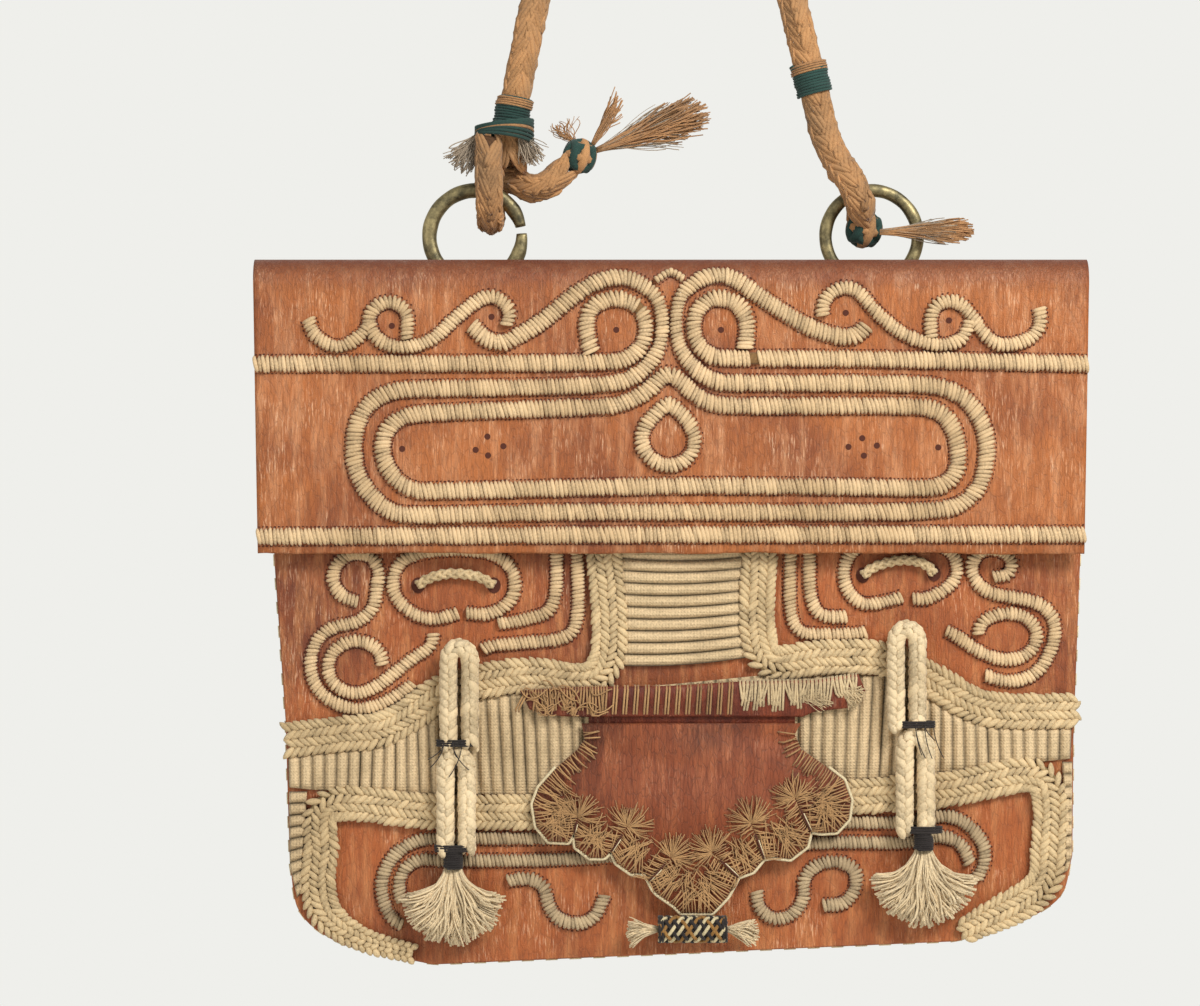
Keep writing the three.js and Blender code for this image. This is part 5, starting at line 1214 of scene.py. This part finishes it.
# A tongue of leather behind the hinge joins the strip to the leaf
TONGUE = ((-27.5, -151.5), (41.5, -150.5), (41.5, -155.5), (-27.5, -155.5))
LEAF = (
    (-29.8, -155.3), (-28.8, -160.7), (-31.1, -163.9), (-38.4, -170.3), (-44.1, -176.8), (-46.1, -182.3),
    (-44.9, -189.7), (-40.8, -194.7), (-34.3, -195), (-32.3, -191.6), (-31.8, -196.6), (-27.1, -200.2),
    (-22.3, -200.2), (-20, -198), (-18.2, -201.9), (-13.3, -205.4), (-8.6, -205.4), (-6, -210.6),
    (-4.5, -212.3), (1.2, -216.3), (3.4, -218.6), (13.8, -218.6), (18.9, -213.2), (22.4, -206.6),
    (27.4, -204.8), (31, -200.4), (34.3, -199.9), (39.9, -200.6), (45.4, -196.4), (46.6, -191.2),
    (50, -191.9), (55.3, -191.6), (59.3, -187.3), (60.1, -180.9), (57.7, -174.3), (50.4, -168.7),
    (43.4, -163.9), (41.4, -159), (43.2, -155.3),
)
PIPED_BELOW_Z = -170
# Each seam runs from a notch in the rim to the point where its threads fan out
LEAF_SEAMS = ((-32.3, -191.6, -31.0, -186.0), (-20.0, -198.0, -14.3, -189.3), (-7.4, -207.8, 0.5, -199.5),
              (22.4, -206.6, 13.2, -197.7), (31.0, -200.4, 26.6, -188.0), (46.6, -191.2, 41.1, -179.6))
TOGGLE = np.array([7.2, -17.8, -223.8])
TOGGLE_HALF = 11.2

# Thin red-brown leather with fine cracks, and hardly any flecks of painted highlight
tag_leather = leather("tag_red_brown_leather", "#7c3b1b", "#a85f33", "#4c2411", 0.8, 0.6, highlight_flecks=0.1)
# Coarse unbleached linen: tan, uneven from thread to thread
tan_thread = fibre("tan_fan_thread", "#a07c52", "#5a4028", 0.5, 0.5, shade=0.5)
# Torn cotton wadding: pale and dusty
wadding = fibre("pale_torn_wadding", "#bfa983", "#7a6443", 0.5, 0.667, shade=0.35)

strip = Solid()
strip_line = np.array(STRIP)
plate(strip, strip_line, -15.6, -13.5, 0.7)
tag_rng = np.random.default_rng(3)
x = -49.0
while x < 62:
    torn = x > TORN_FROM_X
    top = np.interp(x, strip_line[:6, 0], strip_line[:6, 1])
    bottom = STRIP_FOOT if -30 < x < 44 else (-151.6 if x < 0 else -150.6)
    slant = 0.6 if TANGLE_TO_X < x < TORN_FROM_X else tag_rng.normal(0.2, 1.3)
    middle = (top + bottom) / 2
    end = bottom + (tag_rng.uniform(0, 4.5) if torn else 0.0)
    for start in (x, x + 1.0):
        strip.tube([(start, -14.4, top + 0.3), (start, -15.9, top - 1.2), (start - slant / 2, -16.1, middle),
                    (start - slant, -15.9, end + 1.0), (start - slant, -14.4, end + 0.1)],
                   0.4 if torn else 0.34, 6, 1 if torn else 3)
    x += 1.35 if torn else (1.9 if x < TANGLE_TO_X else 3.5)
bundle(strip, tag_rng, 150, (56, -14.9, -143.5), (0.85, -0.1, -0.5), (0.5, 0, 0.85), length=9, spread=4.2,
       thick=1.4, radius=0.16, slot=2)
bundle(strip, tag_rng, 60, (40, -15.6, -145), (0.9, 0, -0.2), (0.2, 0, 0.9), length=16, spread=3.4, thick=1.0,
       radius=0.15, slot=2)
t = np.linspace(0, 1, 14)
for _ in range(TANGLED_THREADS):
    start = np.array([tag_rng.uniform(-48, -26), -16.2, tag_rng.uniform(-151, -143)])
    phase = tag_rng.uniform(0, 6.28, 2)
    size = tag_rng.uniform(1.2, 2.6)
    loose = start + np.stack([size * np.sin(4 * t + phase[0]) + 5 * t, -0.5 * np.sin(3 * t),
                              size * np.cos(5 * t + phase[1]) - 2 * t], 1)
    loose[:, 2] = np.maximum(loose[:, 2], STRIP_FOOT + 0.2)
    strip.tube(loose, 0.24, 5, 3)
plate(strip, np.array(TONGUE), -13.75, -13.4, 0.1)
strip.make("tag_bound_strip", [dark_leather, wadding, wadding, tan_thread], "bag", ["tag_strip"],
           "leather_dark")

leaf = Solid()
leaf_line = np.array(LEAF)
plate(leaf, leaf_line, TAG_BACK - 2.0, TAG_BACK, 0.6)
rim = even_line(np.concatenate([leaf_line, leaf_line[:1]]), 0.5)
along = np.gradient(rim, axis=0)
along /= np.linalg.norm(along, axis=1)[:, None]
turned = np.sum(rim[:-1, 0] * rim[1:, 1] - rim[1:, 0] * rim[:-1, 1])
inward = np.stack([-along[:, 1], along[:, 0]], 1) * np.sign(turned)
low = rim[:, 1] < PIPED_BELOW_Z
piping = upright(rim - inward * 0.45, TAG_BACK - 1.3)
for run in np.split(np.arange(len(rim)), np.where(np.diff(low.astype(int)) != 0)[0] + 1):
    if low[run[0]] and len(run) > 4:
        leaf.tube(piping[run], 0.55, 6, 1)
leaf.make("tag_leaf_leather", [tag_leather, pale_stitch], "tag", ["tag_leaf"], "leather_dark")

fans = Solid()


def turned_by(heading, angle):
    return np.array([heading[0] * math.cos(angle) - heading[1] * math.sin(angle),
                     heading[0] * math.sin(angle) + heading[1] * math.cos(angle)])


def fan_thread(root, heading, length, radius=0.25):
    """One stitch from the rim inwards: it wraps over the edge, lies raised and sinks into the leather."""
    t = np.array([-0.02, 0.06, 0.3, 0.7, 1.0])
    bend = tag_rng.normal(0, 0.35)
    sideways = turned_by(heading, math.pi / 2)
    line = root + length * np.outer(t, heading) + np.outer(bend * t * (1 - t) * 4, sideways)
    fans.tube(upright(line, (-15.2, -16.5, -17.2, -17.3, -16.3)), radius * tag_rng.uniform(0.75, 1.2), 5)


for i in range(2, len(rim) - 2):
    z = rim[i, 1]
    if z > -158:
        continue
    deep = 6.2 if z > PIPED_BELOW_Z else 8.6
    if i % 2 == 0:
        fan_thread(rim[i], turned_by(inward[i], tag_rng.normal(0, 0.07)), deep * tag_rng.uniform(0.75, 1.1))
    if z < -172:
        root = rim[i] + tag_rng.uniform(2.5, 8.5) * inward[i]
        fan_thread(root, turned_by(inward[i], tag_rng.normal(0, 0.22)), tag_rng.uniform(4, 7), 0.17)
for rx, rz, ix, iz in LEAF_SEAMS:
    root = np.array([rx, rz])
    tip = np.array([ix, iz])
    heading = (tip - root) / np.linalg.norm(tip - root)
    for place in even_line(np.stack([root, tip]), 0.7):
        for side in (-1, 1):
            lean = side * tag_rng.normal(1.9, 0.12)
            fan_thread(place, turned_by(heading, lean), tag_rng.uniform(4, 6.5), 0.2)
    start = tip - 0.8 * heading
    for angle in np.linspace(-1.6, 1.6, 44):
        fan_thread(start, turned_by(heading, angle + tag_rng.normal(0, 0.03)), tag_rng.uniform(6, 10), 0.15)
    seam = upright(np.linspace(root, tip, 7)[:5], (-16.6, -17.2, -17.5, -17.6, -17.6))
    fans.tube(seam, 0.3, 6, 1)
    fans.tube(seam[:4] + 0.45 * np.array([heading[1], 0.3, -heading[0]]), 0.2, 6, 2)
fans.make("tag_scallop_threads", [tan_thread, hole_dark, pale_stitch], "tag", ["tag_edging"], "tag_thread")

# Twisted wool in cream and ochre over a black core, matt and even
ivory = fibre("ivory_toggle_thread", "#c9b990", "#6d5a38", 0.4, 0.4)
ochre = fibre("ochre_toggle_thread", "#8a6432", "#4c3418", 0.4, 0.4)
toggle = Solid()
axis_line = np.linspace(TOGGLE - (TOGGLE_HALF, 0, 0), TOGGLE + (TOGGLE_HALF, 0, 0), 90)
toggle.tube(axis_line, 3.6, 12)
toggle.braid(axis_line, 3.9, 6, 0.62, 0.22, 17.0, (0, 1, 2, 1, 0, 2))
toggle.coil(axis_line[:6], 4.2, 0.5, 0.9)
toggle.coil(axis_line[-6:], 4.2, 0.5, 0.9)
toggle.make("tag_toggle_weave", [black_thread, ivory, ochre], "tag", ["toggle_knot"], "toggle_thread")
tufts = Solid()
for way in (-1, 1):
    bundle(tufts, tag_rng, 150, TOGGLE + (way * (TOGGLE_HALF + 0.2), 0, 0), (way, 0, 0), (0, 0, 1), length=11,
           spread=4.0, thick=2.2, radius=0.22, droop=1.2, curl=0.6)
tufts.make("tag_toggle_tufts", [clean_cotton], "tag", ["toggle_tuft_left", "toggle_tuft_right"],
           "plaited_cord")


# The pendants: two loops of plaited cotton cord, one below the other, each bound with black thread.
# A tassel of loose cotton strands fans out at the foot, and each hangs free from a slit in the front.

# Each pendant: its root and how far it leans, in degrees
PENDANTS = {"left": ((-70.7, -126.8), 1.6), "right": ((78.6, -120.6), -4.6)}
PENDANT_Y = -16.9
CORD_RADIUS = 3.1
CORD_REACH = 3.55
# Each loop: how far below the root it starts, and its length
LOOPS = ((0.0, 35.5), (35.8, 34.5))
FIRST_BINDING = 35.5
LAST_BINDING = 70.6
BINDING_TURNS = 3
WISPS = 5
TASSEL_STRANDS = 520
TASSEL_LENGTH = 27
TASSEL_FAN = math.radians(66)

tassel_rng = np.random.default_rng(11)
for name, ((x, z), lean) in PENDANTS.items():
    body = f"pendant_{name}"
    slope = math.tan(math.radians(lean))
    bend = 1.25 * CORD_REACH
    cords = Solid()
    lobes = []
    for depth, length in LOOPS:
        cx = x - slope * depth
        top = z - depth
        arc = [(cx + CORD_REACH * math.cos(a), PENDANT_Y, top - CORD_RADIUS - bend + bend * math.sin(a))
               for a in np.linspace(math.pi, 0, 13)]
        left, right = [(cx + side * CORD_REACH, PENDANT_Y, top - length) for side in (-1, 1)]
        path = even_line(np.array([left, *arc, right]), 0.8)
        cords.tube(path, 2.1, 8)
        lobes += round_plait(path, 1.7, 4, 2.9, (3.5, 5.6, 2.5), 33, math.pi / 4)
    cords.make(body + "_cords", [clean_cotton], body, [body + "_upper", body + "_lower"], "plaited_cord")
    set_pieces(body + "_plait", lobe, lobes, clean_cotton, (8, 0.08, 0.07), body, [])

    bindings = Solid()
    turn = np.linspace(0, 2 * math.pi, 29)
    for drop, wide in ((FIRST_BINDING, 6.4), (LAST_BINDING, 6.016)):
        cx = x - slope * drop
        for k in range(BINDING_TURNS):
            level = np.full(29, z - drop + 1.4 - 0.8 * k)
            ring = np.stack([cx + wide * np.cos(turn), PENDANT_Y + 3.2 * np.sin(turn), level], 1)
            bindings.tube(ring, 0.42, 5, closed=True)
    cx = x - slope * LAST_BINDING
    head_z = z - LAST_BINDING - 0.1
    head = np.array([(cx, PENDANT_Y, head_z), (cx, PENDANT_Y, head_z - 6)])
    bindings.coil(head, 3.0, 0.38, 0.72)
    bindings.tube(even_line(head, 1), 2.9, 10)
    t = np.linspace(0, 1, 12)
    for k in range(WISPS):
        sway = tassel_rng.uniform(-6, 6)
        drop = 12 * t * tassel_rng.uniform(0.4, 1)
        wisp = np.stack([cx + 3 * (k % 3 - 1) + sway * t * t, PENDANT_Y - 3.4 - 0.6 * np.sin(3 * t),
                         z - FIRST_BINDING + 1 - drop], 1)
        bindings.tube(wisp, 0.16, 4)
    bindings.make(body + "_bindings", [black_thread, clean_cotton], body, [], "plaited_cord")

    tassel = Solid()
    t = np.linspace(0, 1, 9)
    for _ in range(TASSEL_STRANDS):
        fan = tassel_rng.uniform(-1, 1)
        spread = TASSEL_FAN * fan
        reach = TASSEL_LENGTH * (0.86 + 0.14 * math.cos(2.2 * spread)) * tassel_rng.uniform(0.8, 1.0)
        layer = tassel_rng.normal(0, 0.38)
        angle = spread * (0.25 + 0.75 * t)
        wander = 1.5 * t * np.sin(8 * t + tassel_rng.uniform(0, 6.28))
        line = np.stack([cx + 2.4 * fan + reach * t * np.sin(angle) * 0.82 + wander,
                         PENDANT_Y + np.clip(4.4 * layer, -4.6, 4.6) * np.sqrt(t),
                         head_z - 5.5 - reach * t * np.cos(angle * 0.9)], 1)
        tassel.tube(line, 0.36 * tassel_rng.uniform(0.6, 1.3), 4)
    tassel.make(body + "_fringe", [clean_cotton], body, [body + "_tassel"], "plaited_cord")

for piece in (rope_lobe, lobe, stitch, hole):
    bpy.data.objects.remove(piece)
